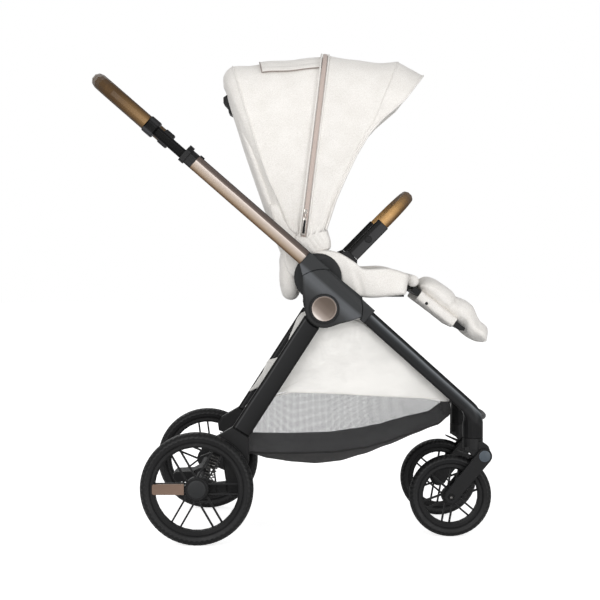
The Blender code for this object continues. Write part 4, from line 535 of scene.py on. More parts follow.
def make_finishes(colours, sizes):
    """Make every material once."""
    fine, coarse = 0.0012, 0.0024
    cloth, fleck, lining = shade(colours.cloth), shade(colours.cloth_dark), shade(colours.lining)
    FINISHES.update({
        "cloth": melange_cloth("pram_melange_cloth", cloth, fleck, sizes.weave),
        "cloth_mapped": melange_cloth("pram_canopy_cloth", cloth, fleck, sizes.weave, True),
        "lining": smooth_cloth("pram_panel_cloth", lining, shade(lining, 0.88), fine),
        "inside": smooth_cloth("pram_canopy_lining", shade(lining, 0.92), shade(lining, 0.8), fine),
        "net": net_cloth("pram_basket_net", shade(colours.net), sizes.net_pitch, -0.78),
        "floor": band_cloth("pram_basket_floor", shade(colours.floor, 1.7), shade(colours.floor), coarse),
        "binding": band_cloth("pram_basket_binding", shade(colours.floor), shade(colours.floor, 0.4), fine),
        "tape": tape_cloth("pram_zip_tape", shade(colours.tape)),
        "piping": tape_cloth("pram_flap_piping", shade(colours.tape, 0.55)),
        # Handle and bumper leather are darker and paler copies of one leather colour, as painted shade and painted
        # light, each with a painted highlight over the stretch given last
        "leather": leather("pram_grip_leather", shade(colours.leather, 0.60), *HANDLE_LINE, 0.0175, (-0.655, -0.505)),
        "bumper_leather": leather(
            "pram_bumper_leather", shade(colours.leather, 0.86), *BUMPER_GRIP_LINE, 0.0160, (0.205, 0.145),
        ),
        # Tubes, rod, hub covers, legs and bumper arms carry painted shade and highlights across their side-view lines
        "tube": drawn("pram_champagne_upper_tube", *HANDLE_LINE, 0.0140, TUBE_PAINTED_LIGHT, 0.44, 0.15, 0.3, CUFF),
        "rod": drawn("pram_black_rod", *HANDLE_LINE, 0.0115, ROD_PAINTED_LIGHT, 0.30, 0.0, 0.08),
        "hub": drawn("pram_black_hub", HUB, HANDLE_LINE[1], 0.0450, HUB_PAINTED_LIGHT, 0.46, 0.0, 0.2),
        "front_leg": drawn("pram_black_front_leg", *FRONT_LEG_LINE, 0.0150, FRONT_LEG_PAINTED_LIGHT, 0.40, 0.0, 0.2),
        "rear_leg": drawn("pram_black_rear_leg", *REAR_LEG_LINE, 0.0205, REAR_LEG_PAINTED_LIGHT, 0.44, 0.0, 0.2),
        "bumper_arm": drawn("pram_black_bumper_arm", *BUMPER_LINE, 0.0170, BUMPER_PAINTED_LIGHT, 0.46, 0.0, 0.2),
        "disc": painted_light_disc("pram_champagne_disc", HUB, 0.0276),
        "champagne": anodised("pram_champagne_tube", shade(colours.champagne)),
        "satin": coated("pram_satin_black", shade(colours.satin), 0.40, 620.0, 0.00006),
        "plastic": coated("pram_grained_plastic", shade(colours.plastic), 0.48, 900.0, 0.00012),
        "gloss": coated("pram_gloss_black", shade(colours.gloss), 0.22, 300.0, 0.00002, wear=0.15),
        "rubber": rubber("pram_tyre_rubber", shade(colours.rubber)),
        "insert": coated("pram_wheel_insert", shade(colours.insert), 0.38, 500.0, 0.00008, metallic=0.25),
        "steel": anodised("pram_spring_steel", shade(colours.steel), 0.34),
        "bright": anodised("pram_zip_metal", srgb(196, 190, 184), 0.24),
        "cap": coated("pram_fork_cap", srgb(84, 92, 100), 0.42, 700.0, 0.00008),
    })


# Points closer than this are one
MERGE = 1e-6


def grid(bm, across, along, place, size=(1.0, 1.0)):
    """Lay out a flat grid and move each of its points to place(u, v), with u and v from 0 to 1."""
    made = bmesh.ops.create_grid(bm, x_segments=across, y_segments=along, size=0.5)["verts"]
    spots = {vertex: (vertex.co.x + 0.5, vertex.co.y + 0.5) for vertex in made}
    layer = bm.loops.layers.uv.get("UVMap") or bm.loops.layers.uv.new("UVMap")
    for face in {face for vertex in made for face in vertex.link_faces}:
        for loop in face.loops:
            u, v = spots[loop.vert]
            loop[layer].uv = (u * size[0], v * size[1])
    for vertex, (u, v) in spots.items():
        vertex.co = place(u, v)
    return made


def along(line, share):
    """Point at a share of a line's length, with the line as a list of points."""
    points = [Vector(point) for point in line]
    lengths = [(end - start).length for start, end in zip(points, points[1:])]
    reach = min(max(share, 0.0), 1.0) * sum(lengths)
    for start, end, length in zip(points, points[1:], lengths):
        if reach <= length:
            return start.lerp(end, reach / length if length else 0.0)
        reach -= length
    return points[-1]


def spline(a, b, c, d, t):
    """Point on a smooth curve from b to c, which comes from a and goes on to d."""
    return 0.5 * (2 * b + (c - a) * t + (2 * a - 5 * b + 4 * c - d) * t ** 2 + (3 * b - a - 3 * c + d) * t ** 3)


def spread(low, high, count):
    """Even values from low to high."""
    return [low + (high - low) * step / count for step in range(count + 1)]


def height_at(line, x):
    """Height of a side view's line over x."""
    for (x0, z0), (x1, z1) in zip(line, line[1:]):
        if x <= x1:
            break
    part = min(max((x - x0) / (x1 - x0), 0.0), 1.0)
    part = part * part * (3 - 2 * part) * 0.35 + part * 0.65
    return z0 + (z1 - z0) * part


def tube(bm, line, radius, sides=8, flat=1.0, up=None):
    """Round or flattened tube along a line, with rounded ends."""
    points = [Vector(point) for point in line]
    last = len(points) - 1
    tangents = [(points[min(index + 1, last)] - points[max(index - 1, 0)]).normalized() for index in range(last + 1)]
    side = (Vector(up) if up else tangents[0].orthogonal()).normalized()
    outs = []
    for tangent in tangents:
        side = (side - tangent * side.dot(tangent)).normalized()
        outs.append(side.copy())

    def cap(index, way, part):
        """Station of a rounded end, from its tip at 0 to the tube at 1."""
        centre = points[index] + tangents[index] * way * radius * (1 - part) * 0.8
        return centre, tangents[index], outs[index], math.sqrt(max(0.0, 1 - (1 - part) ** 2))

    stations = [cap(0, -1, part) for part in (0.0, 0.5, 0.87)]
    stations += [(*station, 1.0) for station in zip(points, tangents, outs)]
    stations += [cap(last, 1, part) for part in (0.87, 0.5, 0.0)]

    def place(u, v):
        centre, tangent, out, share = stations[round(v * (len(stations) - 1))]
        angle = math.tau * u
        binormal = tangent.cross(out)
        return centre + (out * math.cos(angle) + binormal * math.sin(angle) * flat) * radius * share

    length = sum((b - a).length for a, b in zip(points, points[1:]))
    made = grid(bm, sides, len(stations) - 1, place, (math.tau * radius, length))
    bmesh.ops.remove_doubles(bm, verts=made, dist=MERGE)


def ring(bm, centre, axis, profile, steps=48):
    """Turn a profile, as (radius, height) pairs, once round an axis."""
    axis = Vector(axis).normalized()
    out = axis.orthogonal().normalized()
    centre = Vector(centre)
    edge = [bm.verts.new(centre + out * radius + axis * height) for radius, height in profile]
    edges = [bm.edges.new(pair) for pair in zip(edge, edge[1:])]
    before = set(bm.verts)
    bmesh.ops.spin(bm, geom=edge + edges, cent=centre, axis=axis, angle=math.tau, steps=steps, use_merge=True)
    made = [vertex for vertex in list(set(bm.verts) - before) + edge if vertex.is_valid]
    bmesh.ops.remove_doubles(bm, verts=made, dist=MERGE)


def closed(bm):
    """Merge doubles and point the faces outwards."""
    bmesh.ops.remove_doubles(bm, verts=bm.verts, dist=MERGE)
    bmesh.ops.recalc_face_normals(bm, faces=bm.faces)


def make_piece(name, bm, finish, body, replaces=(), sharp=None):
    """Turn a mesh into a piece that rides on a body of the frame."""
    mesh = bpy.data.meshes.new(name)
    bm.to_mesh(mesh)
    bm.free()
    mesh.shade_smooth()
    if sharp:
        mesh.set_sharp_from_angle(angle=math.radians(sharp))
    piece = bpy.data.objects.new(name, mesh)
    bpy.context.scene.collection.objects.link(piece)
    mesh.materials.append(FINISHES[finish])
    if body:
        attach(piece, body)
    if replaces:
        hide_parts(*replaces)
    return piece


def tube_piece(name, finish, body, slot, line, radius, sides=8, **form):
    """Piece from one tube along a line."""
    bm = bmesh.new()
    tube(bm, line, radius, sides, **form)
    return make_piece(name, bm, finish, body)


def turned_piece(name, finish, body, centre, side, profile, steps, sharp=35):
    """Piece turned about an axis across the pram, from a profile of (radius, height) pairs."""
    bm = bmesh.new()
    ring(bm, centre, (0, side, 0), profile, steps)
    closed(bm)
    return make_piece(name, bm, finish, body, sharp=sharp)


def sheet_piece(name, finish, body, steps, place, size, replaces=(), merge=False):
    """Piece from one grid of cloth that is moved to place(u, v)."""
    bm = bmesh.new()
    made = grid(bm, *steps, place, size)
    if merge:
        bmesh.ops.remove_doubles(bm, verts=made, dist=MERGE)
    bmesh.ops.recalc_face_normals(bm, faces=bm.faces)
    return make_piece(name, bm, finish, body, replaces)


def thicken(piece, thickness, offset=-1.0):
    """Give a sheet its thickness."""
    wall = piece.modifiers.new("Thickness", "SOLIDIFY")
    wall.thickness = thickness
    wall.offset = offset
    wall.use_even_offset = False


def soften(piece, levels=1):
    """Round a piece's form with a subdivision surface."""
    surface = piece.modifiers.new("Soft form", "SUBSURF")
    surface.levels = surface.render_levels = levels


def surface_of(piece):
    """Search tree of a piece's own mesh."""
    bm = bmesh.new()
    bm.from_mesh(piece.data)
    tree = BVHTree.FromBMesh(bm)
    bm.free()
    return tree


def lay_on(tree, points, direction, lift, start=0.12):
    """Drop points onto a surface along a direction."""
    laid = []
    for point in points:
        hit = tree.ray_cast(point - direction * start, direction, start * 2)[0]
        if hit is not None:
            laid.append(hit - direction * lift)
    return laid


# Canopy


@functools.lru_cache
def hoop(count):
    """Even points on a half hoop with upright sides, as (across, rise) from 0 to 1."""
    fine = []
    for step in range(721):
        turn = math.pi * step / 720
        c, s = math.cos(turn), math.sin(turn)
        fine.append(Vector((math.copysign(abs(c) ** 0.5, c) * 0.18, abs(s) ** 0.5 * 0.40)))
    return [(point.x / 0.18, point.y / 0.40) for point in (along(fine, step / count) for step in range(count + 1))]


def ray(angle, radius, foot):
    """Side view of a bow: a straight line from its foot to its top."""
    top = (
        CANOPY_PIVOT[0] + radius * math.cos(math.radians(angle)),
        CANOPY_PIVOT[1] + radius * math.sin(math.radians(angle)),
    )
    return [foot, top]


def blend_lines(lines, share, rise):
    """Point at a height on the line between two side views, smooth from line to line."""
    spot = share * (len(lines) - 1)
    index = min(int(spot), len(lines) - 2)
    t = spot - index
    b, c = along(lines[index][0], rise), along(lines[index + 1][0], rise)
    a = along(lines[index - 1][0], rise) if index else b * 2 - c
    d = along(lines[index + 2][0], rise) if index + 2 < len(lines) else c * 2 - b
    point = spline(a, b, c, d, t)
    half = lines[index][1] + (lines[index + 1][1] - lines[index][1]) * t
    return point, half


def outward(across, rise):
    """Direction off the canopy's cloth at a spot of its hoop."""
    return Vector((0, across ** 3, max(0.0, rise) ** 3 * (1 - abs(across) ** 3))).normalized()


def hood_sheet(name, lines, steps, body, thickness, crease, replaces=()):
    """One curved and lined sheet of canopy cloth over its bows. Lines are (side view, half width)."""
    count = 96
    arch = hoop(count)

    def place(u, v):
        across, rise = arch[round(u * count)]
        (x, z), half = blend_lines(lines, v, rise)
        ripple = noise.noise(Vector((x * 11, across * 2.1, z * 7)))
        ripple += 0.5 * noise.noise(Vector((x * 26, across * 5, z * 17)))
        gather = math.sin(v * 21 + x * 30) * max(0.0, 0.32 - rise) * 4
        push = crease * (ripple + gather) * (1 - abs(2 * v - 1) ** 6)
        return Vector((x, across * half, z)) + outward(across, rise) * push

    sheet = sheet_piece(name, "cloth_mapped", body, (count, steps), place, (1.06, 0.30), replaces)
    sheet.data.materials.append(FINISHES["inside"])
    thicken(sheet, thickness)
    sheet.modifiers["Thickness"].material_offset = 1


REAR_LINES = [
    (BACK_HEM, 0.1590), (BACK_ROLL, 0.1735), (BACK_PIPING, 0.1790),
    (ray(107.0, 0.4100, (0.0130, 0.6870)), 0.1790), (ray(101.0, 0.4060, (0.0200, 0.6830)), 0.1785),
    (ray(95.0, 0.4020, (0.0250, 0.6800)), 0.1783), (ray(89.0, 0.4070, (0.0300, 0.6790)), 0.1785),
    (ray(82.6, 0.4150, (0.0340, 0.6785)), 0.1790),
]
FRONT_LINES = [
    (ray(83.0, 0.4200, (0.0335, 0.6785)), 0.1850), (ray(78.0, 0.4190, (0.0430, 0.6800)), 0.1852),
    (ray(72.4, 0.4245, (0.0530, 0.6825)), 0.1852), (ray(66.0, 0.4360, (0.0650, 0.6860)), 0.1852),
    (SEAM_LINE, 0.1852),
]
VISOR_LINES = [
    (SEAM_LINE, 0.1856),
    ([tuple((a + b) / 2 for a, b in zip(p, q)) for p, q in zip(SEAM_LINE, VISOR_LINE)], 0.1858),
    (VISOR_LINE, 0.1855),
]


def hood_line(lines, share, count, out):
    """Line over the canopy at one share between its bows, from one foot to the other."""
    points = []
    for across, rise in hoop(count):
        (x, z), half = blend_lines(lines, share, rise)
        points.append(Vector((x, across * half, z)) + outward(across, rise) * out)
    return points


class PRAM_OT_rear_canopy(bpy.types.Operator):
    """Make the canopy's rear sheet with its piping and vent flap"""

    bl_idname = "pram.rear_canopy"
    bl_label = "Rear canopy"

    def execute(self, context):
        sizes = context.scene.pram_sizes
        hood_sheet("canopy_rear_cloth", REAR_LINES, 56, "backrest", sizes.cloth, 0.0008, ["rear_canopy"])
        piping = hood_line(REAR_LINES, 2 / 7, 90, 0.0008)
        tube_piece("canopy_back_piping", "cloth", "backrest", "white_fabric", piping, sizes.piping)

        reach, fine = 0.743, 200
        arch = hoop(fine)
        outer = sum(across > reach for across, _ in arch) / fine

        def flap(u, v):
            spot, rise = arch[round((outer + (1 - 2 * outer) * u) * fine)]
            (x, z), half = blend_lines(REAR_LINES, 0.50 + 0.475 * v, rise)
            lift = 0.0022 + 0.0030 * (1 - v) ** 2 + 0.0008 * math.sin(math.pi * v)
            out = Vector((0, spot ** 3, max(0.0, rise) ** 3)).normalized()
            ripple = noise.noise(Vector((x * 30, spot * 6, z * 9))) * 0.0006
            return Vector((x, spot * half, z)) + out * (lift + ripple)

        vent = sheet_piece("canopy_vent_flap", "cloth_mapped", "backrest", (64, 24), flap, (0.42, 0.13))
        thicken(vent, 0.0018)
        edge = [flap(0.0, v / 24) for v in range(24, -1, -1)]
        edge += [flap(u / 60, 0.0) for u in range(1, 61)]
        edge += [flap(1.0, v / 24) for v in range(1, 25)]
        tube_piece("canopy_vent_piping", "piping", "backrest", "white_fabric", edge, 0.0013)
        return {"FINISHED"}


class PRAM_OT_front_canopy(bpy.types.Operator):
    """Make the canopy's front sheet and its visor"""

    bl_idname = "pram.front_canopy"
    bl_label = "Front canopy"

    def execute(self, context):
        cloth = context.scene.pram_sizes.cloth
        body = "canopy_front"
        hood_sheet("canopy_front_cloth", FRONT_LINES, 48, body, cloth, 0.0011, ["front_canopy"])
        hood_sheet("canopy_visor", VISOR_LINES, 20, body, cloth * 1.3, 0.0012)
        for name, share, radius in (("canopy_visor_seam", 0.04, 0.0013), ("canopy_visor_edge", 0.985, 0.0022)):
            tube_piece(name, "cloth", body, "white_fabric", hood_line(VISOR_LINES, share, 96, -0.0002), radius)
        return {"FINISHED"}


# How far the zip leans back, and the place of its slider
ZIP_LEAN = math.radians(6)
ZIP_SLIDER = Vector((0.0398, -0.1880, 0.7345))


def soft_block(bm, centre, size, edge):
    """Block with rounded edges that leans as the zip does."""
    made = bmesh.ops.create_cube(bm, size=1.0)["verts"]
    place = Matrix.Translation(centre) @ Matrix.Rotation(ZIP_LEAN, 4, "Y") @ Matrix.Diagonal((*size, 1))
    bmesh.ops.transform(bm, verts=made, matrix=place)
    bmesh.ops.bevel(bm, geom=bm.edges, offset=edge, segments=3, profile=0.5, affect="EDGES", material=-1)


class PRAM_OT_canopy_zip(bpy.types.Operator):
    """Make the zip between the canopy's two parts, with its slider and pull"""

    bl_idname = "pram.canopy_zip"
    bl_label = "Canopy zip"

    def execute(self, context):
        wide = context.scene.pram_sizes.zip_width / 2
        body = "canopy_front"
        count, forward = 220, 0.0015
        middle = hood_line(FRONT_LINES, 0.0, count, 0.0009)
        normals = [outward(across, rise) for across, rise in hoop(count)]
        lean = Vector((math.cos(ZIP_LEAN), 0, -math.sin(ZIP_LEAN)))

        def tape(u, v):
            index = round(v * count)
            crown = 0.0007 * (1 - (2 * u - 1) ** 2)
            return middle[index] + lean * (-wide + 2 * wide * u + forward) + normals[index] * crown

        made = sheet_piece("canopy_zip_tape", "tape", body, (6, count), tape, (2 * wide, 1.05))
        thicken(made, 0.0012)
        for name, offset, radius, finish in (
            ("canopy_zip_seam_rear", -wide - 0.0022, 0.0017, "cloth"),
            ("canopy_zip_seam_front", wide + 0.0052, 0.0017, "cloth"),
            ("canopy_zip_teeth", forward, 0.0011, "tape"),
        ):
            line = [point + lean * offset + normal * 0.0007 for point, normal in zip(middle, normals)]
            tube_piece(name, finish, body, "white_fabric", line, radius)

        down = (Vector((0.034, 0, 0.679)) - Vector((0.0395, 0, 0.735))).normalized()
        bm = bmesh.new()
        soft_block(bm, ZIP_SLIDER, (0.0085, 0.0032, 0.0115), 0.0011)
        drops = ((0.004, -0.0022), (0.008, -0.0030), (0.0125, -0.0026))
        tube(bm, [ZIP_SLIDER + down * drop + Vector((0, out, 0)) for drop, out in drops], 0.0012)
        closed(bm)
        make_piece("zip_slider", bm, "bright", body, sharp=40)
        centre = ZIP_SLIDER + down * 0.0330 + Vector((0, -0.0030, 0))
        raised = centre + down * 0.0012 + Vector((0, -0.0008, 0))
        for name, finish, spot, size, edge in (
            ("zip_pull_frame", "bright", centre, (0.0080, 0.0024, 0.0400), 0.0010),
            ("zip_pull_grip", "gloss", raised, (0.0056, 0.0024, 0.0300), 0.0008),
        ):
            bm = bmesh.new()
            soft_block(bm, spot, size, edge)
            make_piece(name, bm, finish, body, sharp=40)
        return {"FINISHED"}


# Cushions


def fill_cushion(name, node, body, shrink, swell, voxel, push):
    """Fill a cushion's cloth from its solid: remesh, blow it up a little as cloth and round it."""
    bm = bmesh.new()
    bm.from_mesh(NODES[node].data)
    bmesh.ops.remove_doubles(bm, verts=bm.verts, dist=1e-5)
    bmesh.ops.recalc_face_normals(bm, faces=bm.faces)
    centre = sum((vertex.co for vertex in bm.verts), Vector()) / len(bm.verts)
    low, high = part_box(node)
    for vertex in bm.verts:
        for axis in range(3):
            reach = max((high[axis] - low[axis]) / 2, 1e-6)
            vertex.co[axis] += (centre[axis] - vertex.co[axis]) / reach * shrink
    mesh = bpy.data.meshes.new(name)
    bm.to_mesh(mesh)
    bm.free()
    piece = bpy.data.objects.new(name, mesh)
    bpy.context.scene.collection.objects.link(piece)
    remesh = piece.modifiers.new("Even cloth", "REMESH")
    remesh.mode = "VOXEL"
    remesh.voxel_size = voxel
    apply_modifiers(piece)
    rest = [vertex.co.copy() for vertex in piece.data.vertices]
    cloth = piece.modifiers.new("Cloth", "CLOTH")
    cloth.settings.use_pressure = True
    cloth.settings.uniform_pressure_force = 4.0
    cloth.settings.effector_weights.gravity = 0.0
    cloth.settings.quality = 5
    cloth.settings.tension_stiffness = 15
    cloth.settings.bending_stiffness = 0.8
    scene = bpy.context.scene
    for step in range(1, 21):
        scene.frame_set(step)
    apply_modifiers(piece)
    scene.frame_set(1)
    for vertex, start in zip(piece.data.vertices, rest):
        move = vertex.co - start
        if move.length > swell:
            vertex.co = start + move.normalized() * swell
    bm = bmesh.new()
    bm.from_mesh(piece.data)
    for _ in range(2):
        bmesh.ops.smooth_vert(bm, verts=bm.verts, factor=0.5, use_axis_x=True, use_axis_y=True, use_axis_z=True)
    bmesh.ops.recalc_face_normals(bm, faces=bm.faces)
    for vertex in bm.verts:
        push(vertex)
    bm.to_mesh(piece.data)
    bm.free()
    piece.data.shade_smooth()
    piece.data.materials.clear()
    piece.data.materials.append(FINISHES["cloth"])
    soften(piece)
    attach(piece, body)
    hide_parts(node)
    return piece


def apply_modifiers(piece):
    """Make a piece's modified mesh its own mesh."""
    graph = bpy.context.evaluated_depsgraph_get()
    mesh = bpy.data.meshes.new_from_object(piece.evaluated_get(graph))
    piece.modifiers.clear()
    old = piece.data
    piece.data = mesh
    bpy.data.meshes.remove(old)


def creased(amount, scale, stretch=(1, 1, 1)):
    """Small creases over a cushion."""
    def push(vertex):
        spot = Vector([value * scale * part for value, part in zip(vertex.co, stretch)])
        vertex.co += vertex.normal * amount * noise.noise(spot)
    return push


def seam_over(tree, name, body, point, half, direction):
    """Sewn seam across a cushion: a thread that lies on its cloth."""
    line = [point + Vector((0, across, 0)) for across in spread(-half, half, 40)]
    laid = lay_on(tree, line, direction, 0.0002)
    if len(laid) < 3:
        raise RuntimeError(f"{name} found no cloth to lie on")
    tube_piece(name, "cloth", body, "white_fabric", laid, 0.0009, 6)


class PRAM_OT_cushions(bpy.types.Operator):
    """Make the seat, back and leg cushions with their sewn channels"""

    bl_idname = "pram.cushions"
    bl_label = "Cushions"

    def execute(self, context):
        swell = context.scene.pram_sizes.swell
        crease, fine = creased(0.0016, 24, (1, 0.5, 1)), creased(0.0007, 24)
        seat = fill_cushion("seat_cushion", "seat_pad", "seat", 0.003, swell, 0.005, crease)
        back = fill_cushion("back_cushion", "back_pad", "backrest", 0.003, swell, 0.005, crease)
        leg = fill_cushion("legrest_cushion", "legrest_pad", "legrest", 0.0025, swell * 0.7, 0.0045, fine)
        low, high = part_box("seat_pad")
        tree = surface_of(seat)
        for index, share in enumerate((0.36, 0.68)):
            point = Vector((low.x + (high.x - low.x) * share, 0, 0.60))
            seam_over(tree, f"seat_cushion_seam_{index}", "seat", point, 0.135, Vector((0, 0, -1)))
        tree = surface_of(back)
        for index, reach in enumerate((0.137, 0.228, 0.319)):
            half = 0.140 - 0.05 * max(0.0, (reach - 0.24) / 0.1) ** 2
            point = BACK_FOOT + BACK_UP * reach + BACK_FRONT * 0.08
            seam_over(tree, f"back_cushion_seam_{index}", "backrest", point, half, -BACK_FRONT.normalized())
        point = LEGREST_PIVOT + LEGREST_FORWARD * 0.106
        seam_over(surface_of(leg), "legrest_cushion_seam", "legrest", point, 0.138, -LEGREST_UP.normalized())
        return {"FINISHED"}


# Seat covers


def pillow(bm, outline, inner, outer, side, steps, puff):
    """Thin closed pillow with a side view's outline, flat inside and crowned outside."""
    centre = Vector((sum(p[0] for p in outline) / len(outline), sum(p[1] for p in outline) / len(outline)))
    count = len(outline)

    def place(u, v):
        share = v * 2 if v <= 0.5 else (1 - v) * 2
        depth = inner if v <= 0.5 else inner + (outer - inner) * (1 - share ** 6) ** puff
        flat = centre.lerp(Vector(outline[round(u * count) % count]), share)
        return Vector((flat.x, side * depth, flat.y))

    made = grid(bm, count, steps * 2, place)
    bmesh.ops.remove_doubles(bm, verts=made, dist=MERGE)


def rounded(points, count):
    """Closed outline through the points with soft corners."""
    corners = [Vector(point) for point in points]
    fine = []
    for index in range(len(corners)):
        around = [corners[(index + offset) % len(corners)] for offset in (-1, 0, 1, 2)]
        fine += [spline(*around, step / 10) for step in range(10)]
    fine.append(fine[0])
    return [tuple(along(fine, step / count)) for step in range(count)]


SEAT_SIDE = [
    (0.0560, 0.6420), (0.0734, 0.6490), (0.0990, 0.6480), (0.1220, 0.6400), (0.1500, 0.6225), (0.1620, 0.6115),
    (0.1773, 0.6068), (0.2215, 0.6085),
    (0.2504, 0.6029), (0.2715, 0.5940), (0.2738, 0.5905), (0.2700, 0.5690), (0.2672, 0.5510), (0.2645, 0.5482),
    (0.2422, 0.5455), (0.1945, 0.5408),
    (0.1603, 0.5432), (0.1320, 0.5500), (0.1180, 0.5700), (0.1100, 0.6000), (0.0850, 0.6280),
]
WING = [
    (0.0275, 0.6888), (0.0543, 0.6990), (0.0856, 0.6985), (0.0945, 0.6799), (0.0979, 0.6642), (0.0952, 0.6500),
    (0.0766, 0.6435), (0.0530, 0.6360),
    (0.0364, 0.6500), (0.0210, 0.6612), (0.0080, 0.6740),
]
SHOULDER = [
    (-0.0430, 0.7470), (-0.0330, 0.7560), (-0.0200, 0.7500), (-0.0060, 0.7180), (0.0110, 0.6980), (0.0260, 0.6800),
    (0.0130, 0.6590), (-0.0080, 0.6680),
    (-0.0280, 0.7000),
]
CORNER = [
    (-0.0130, 0.6600), (0.0020, 0.6640), (0.0200, 0.6400), (0.0300, 0.6200), (0.0290, 0.5960), (0.0180, 0.5860),
    (0.0050, 0.5900), (-0.0060, 0.6150),
    (-0.0120, 0.6400),
]
TAIL = [
    (-0.0170, 0.6350), (-0.0185, 0.6000), (-0.0180, 0.5700), (-0.0110, 0.5440), (0.0040, 0.5340), (0.0180, 0.5370),
    (0.0270, 0.5520), (0.0300, 0.5900),
    (0.0360, 0.6250), (0.0200, 0.6600), (-0.0060, 0.6700),
]


def gathered(x, y, z, side):
    """How far the seat's side cloth stands out round the fold that runs down it."""
    if abs(y) <= 0.182:
        return 0.0
    fold = math.exp(-((x - 0.1480 - (0.61 - z) * 0.30) / 0.0065) ** 2) * min(1.0, max(0.0, (0.612 - z) / 0.03))
    ridge = math.exp(-((x - 0.1350 - (0.62 - z) * 0.30) / 0.0075) ** 2)
    wave = noise.noise(Vector((x * 34, side * 3.0, z * 40)))
    return 0.0024 * ridge - 0.0036 * fold + 0.0010 * wave


def quilted(x, y, z, side):
    """How far the wing's cloth is drawn in along its slanting seams."""
    if abs(y) <= 0.168:
        return 0.0
    return -0.0012 * (1 - abs(math.sin((x + (z - 0.66) * 0.7) * math.pi / 0.0135)) ** 0.7)


# Name, outline, its count of points, inner and outer face, steps, puff, fill and what shapes the cloth
SIDE_PILLOWS = (
    ("seat_side_cover", SEAT_SIDE, 110, 0.1790, 0.1990, 16, 0.32, 0.4, gathered),
    ("seat_wing", WING, 80, 0.1640, 0.1855, 14, 0.4, 0.7, quilted),
    ("seat_shoulder", SHOULDER, 70, 0.1590, 0.1785, 10, 0.3, 0.5, None),
    ("seat_corner", CORNER, 60, 0.1600, 0.1885, 10, 0.3, 0.5, None),
)
STUD = [(0.0, 0.0022), (0.0022, 0.0020), (0.0034, 0.0012), (0.0036, 0.0)]


TAIL_OUTLINE = rounded(TAIL, 60)


def hang(u, v):
    """Loose cloth that hangs behind the seat."""
    across = 2 * v - 1
    point = Vector((0.004, 0.590)).lerp(Vector(TAIL_OUTLINE[round(u * 60) % 60]), (1 - abs(across) ** 9) ** 0.5)
    wave = 0.0022 * noise.noise(Vector((point.x * 30, across * 5, point.y * 26)))
    return Vector((point.x + wave, across * 0.1745, point.y + wave))


def back_shell(u, v):
    """Cloth over the back's rear and its rims."""
    reach = -0.055 + 0.4860 * v
    share = max(0.0, (reach - 0.240) / 0.190)
    half = 0.1600 * (max(0.0, 1 - share ** 2.5)) ** 0.4 if reach < 0.430 else 0.03
    half = max(half, 0.045) + 0.004
    low_end = max(0.0, -reach) / 0.055
    c, s = math.cos(math.pi * u), math.sin(math.pi * u)
    across = math.copysign(abs(c) ** 0.45, c) * (half - 0.012 * low_end ** 2)
    depth = -0.0135 * abs(s) ** 0.35 - 0.006 * math.sin(math.pi * min(1, max(0, v))) * abs(s) ** 1.5
    wave = 0.0012 * noise.noise(Vector((across * 14, reach * 12, 3.1)))
    forward = depth + 0.008 + wave + 0.012 * low_end ** 2
    return BACK_FOOT + BACK_UP * reach + BACK_FRONT * forward + Vector((0, across, 0))


def sleeve(u, v):
    """Cloth round the leg rest's board."""
    reach = 0.028 + 0.102 * v
    c, s = math.cos(math.tau * u), math.sin(math.tau * u)
    across = math.copysign(abs(c) ** 0.22, c) * (0.1425 + 0.002 * math.sin(v * 9))
    depth = -0.0045 - 0.005 * v + math.copysign(abs(s) ** 0.5, s) * 0.0140
    wave = 0.0012 * noise.noise(Vector((reach * 40, across * 9, depth * 30)))
    return LEGREST_PIVOT + LEGREST_FORWARD * reach + LEGREST_UP * (depth + wave) + Vector((0, across, 0))


class PRAM_OT_seat_cover(bpy.types.Operator):
    """Make the cloth over the seat's sides, its wings, its back and the leg rest's board"""

    bl_idname = "pram.seat_cover"
    bl_label = "Seat cover"

    def execute(self, context):
        for tag, side in SIDES:
            for name, outline, count, inner, outer, steps, puff, fill, shape in SIDE_PILLOWS:
                bm = bmesh.new()
                pillow(bm, rounded(outline, count), inner, outer, side, steps, puff)
                closed(bm)
                if shape:
                    for vertex in bm.verts:
                        vertex.co.y += side * shape(*vertex.co, side)
                piece = make_piece(f"{name}_{tag}", bm, "cloth", "seat")
                soften(piece)

        size = (0.28, 0.32)
        tail = sheet_piece("seat_back_tail", "cloth", "backrest", (60, 60), hang, size, merge=True)
        size = (0.40, 0.48)
        shell = sheet_piece("seat_back_cover", "cloth_mapped", "backrest", (48, 64), back_shell, size)
        thicken(shell, 0.0020, 1.0)

        bm = bmesh.new()
        made = grid(bm, 64, 24, sleeve, (0.60, 0.12))
        bmesh.ops.remove_doubles(bm, verts=made, dist=MERGE)
        bmesh.ops.holes_fill(bm, edges=bm.edges, sides=80)
        bmesh.ops.recalc_face_normals(bm, faces=bm.faces)
        cover = make_piece("legrest_board_cover", bm, "cloth", "legrest", sharp=60)
        bm = bmesh.new()
        across = enumerate(spread(-0.1400, 0.1400, 24))
        tube(bm, [Vector((0.2830 + 0.0006 * math.sin(step), y, 0.5785)) for step, y in across], 0.0135, 16)
        closed(bm)
        make_piece("legrest_knee_roll", bm, "cloth", "legrest")
        for tag, side in SIDES:
            centre = LEGREST_PIVOT + LEGREST_FORWARD * 0.052 - LEGREST_UP * 0.010 + Vector((0, side * 0.1437, 0))
            turned_piece(f"legrest_stud_{tag}", "gloss", "legrest", centre, side, STUD, 20, None)
        return {"FINISHED"}


# Basket


BASKET_FIRST, BASKET_LAST = -0.100, 0.370


def basket_half(x):
    """Half width of the basket, which follows the legs' inner sides."""
    return height_at([(-0.104, 0.2000), (0.170, 0.2000), (0.260, 0.1760), (0.340, 0.1450), (0.374, 0.1270)], x)


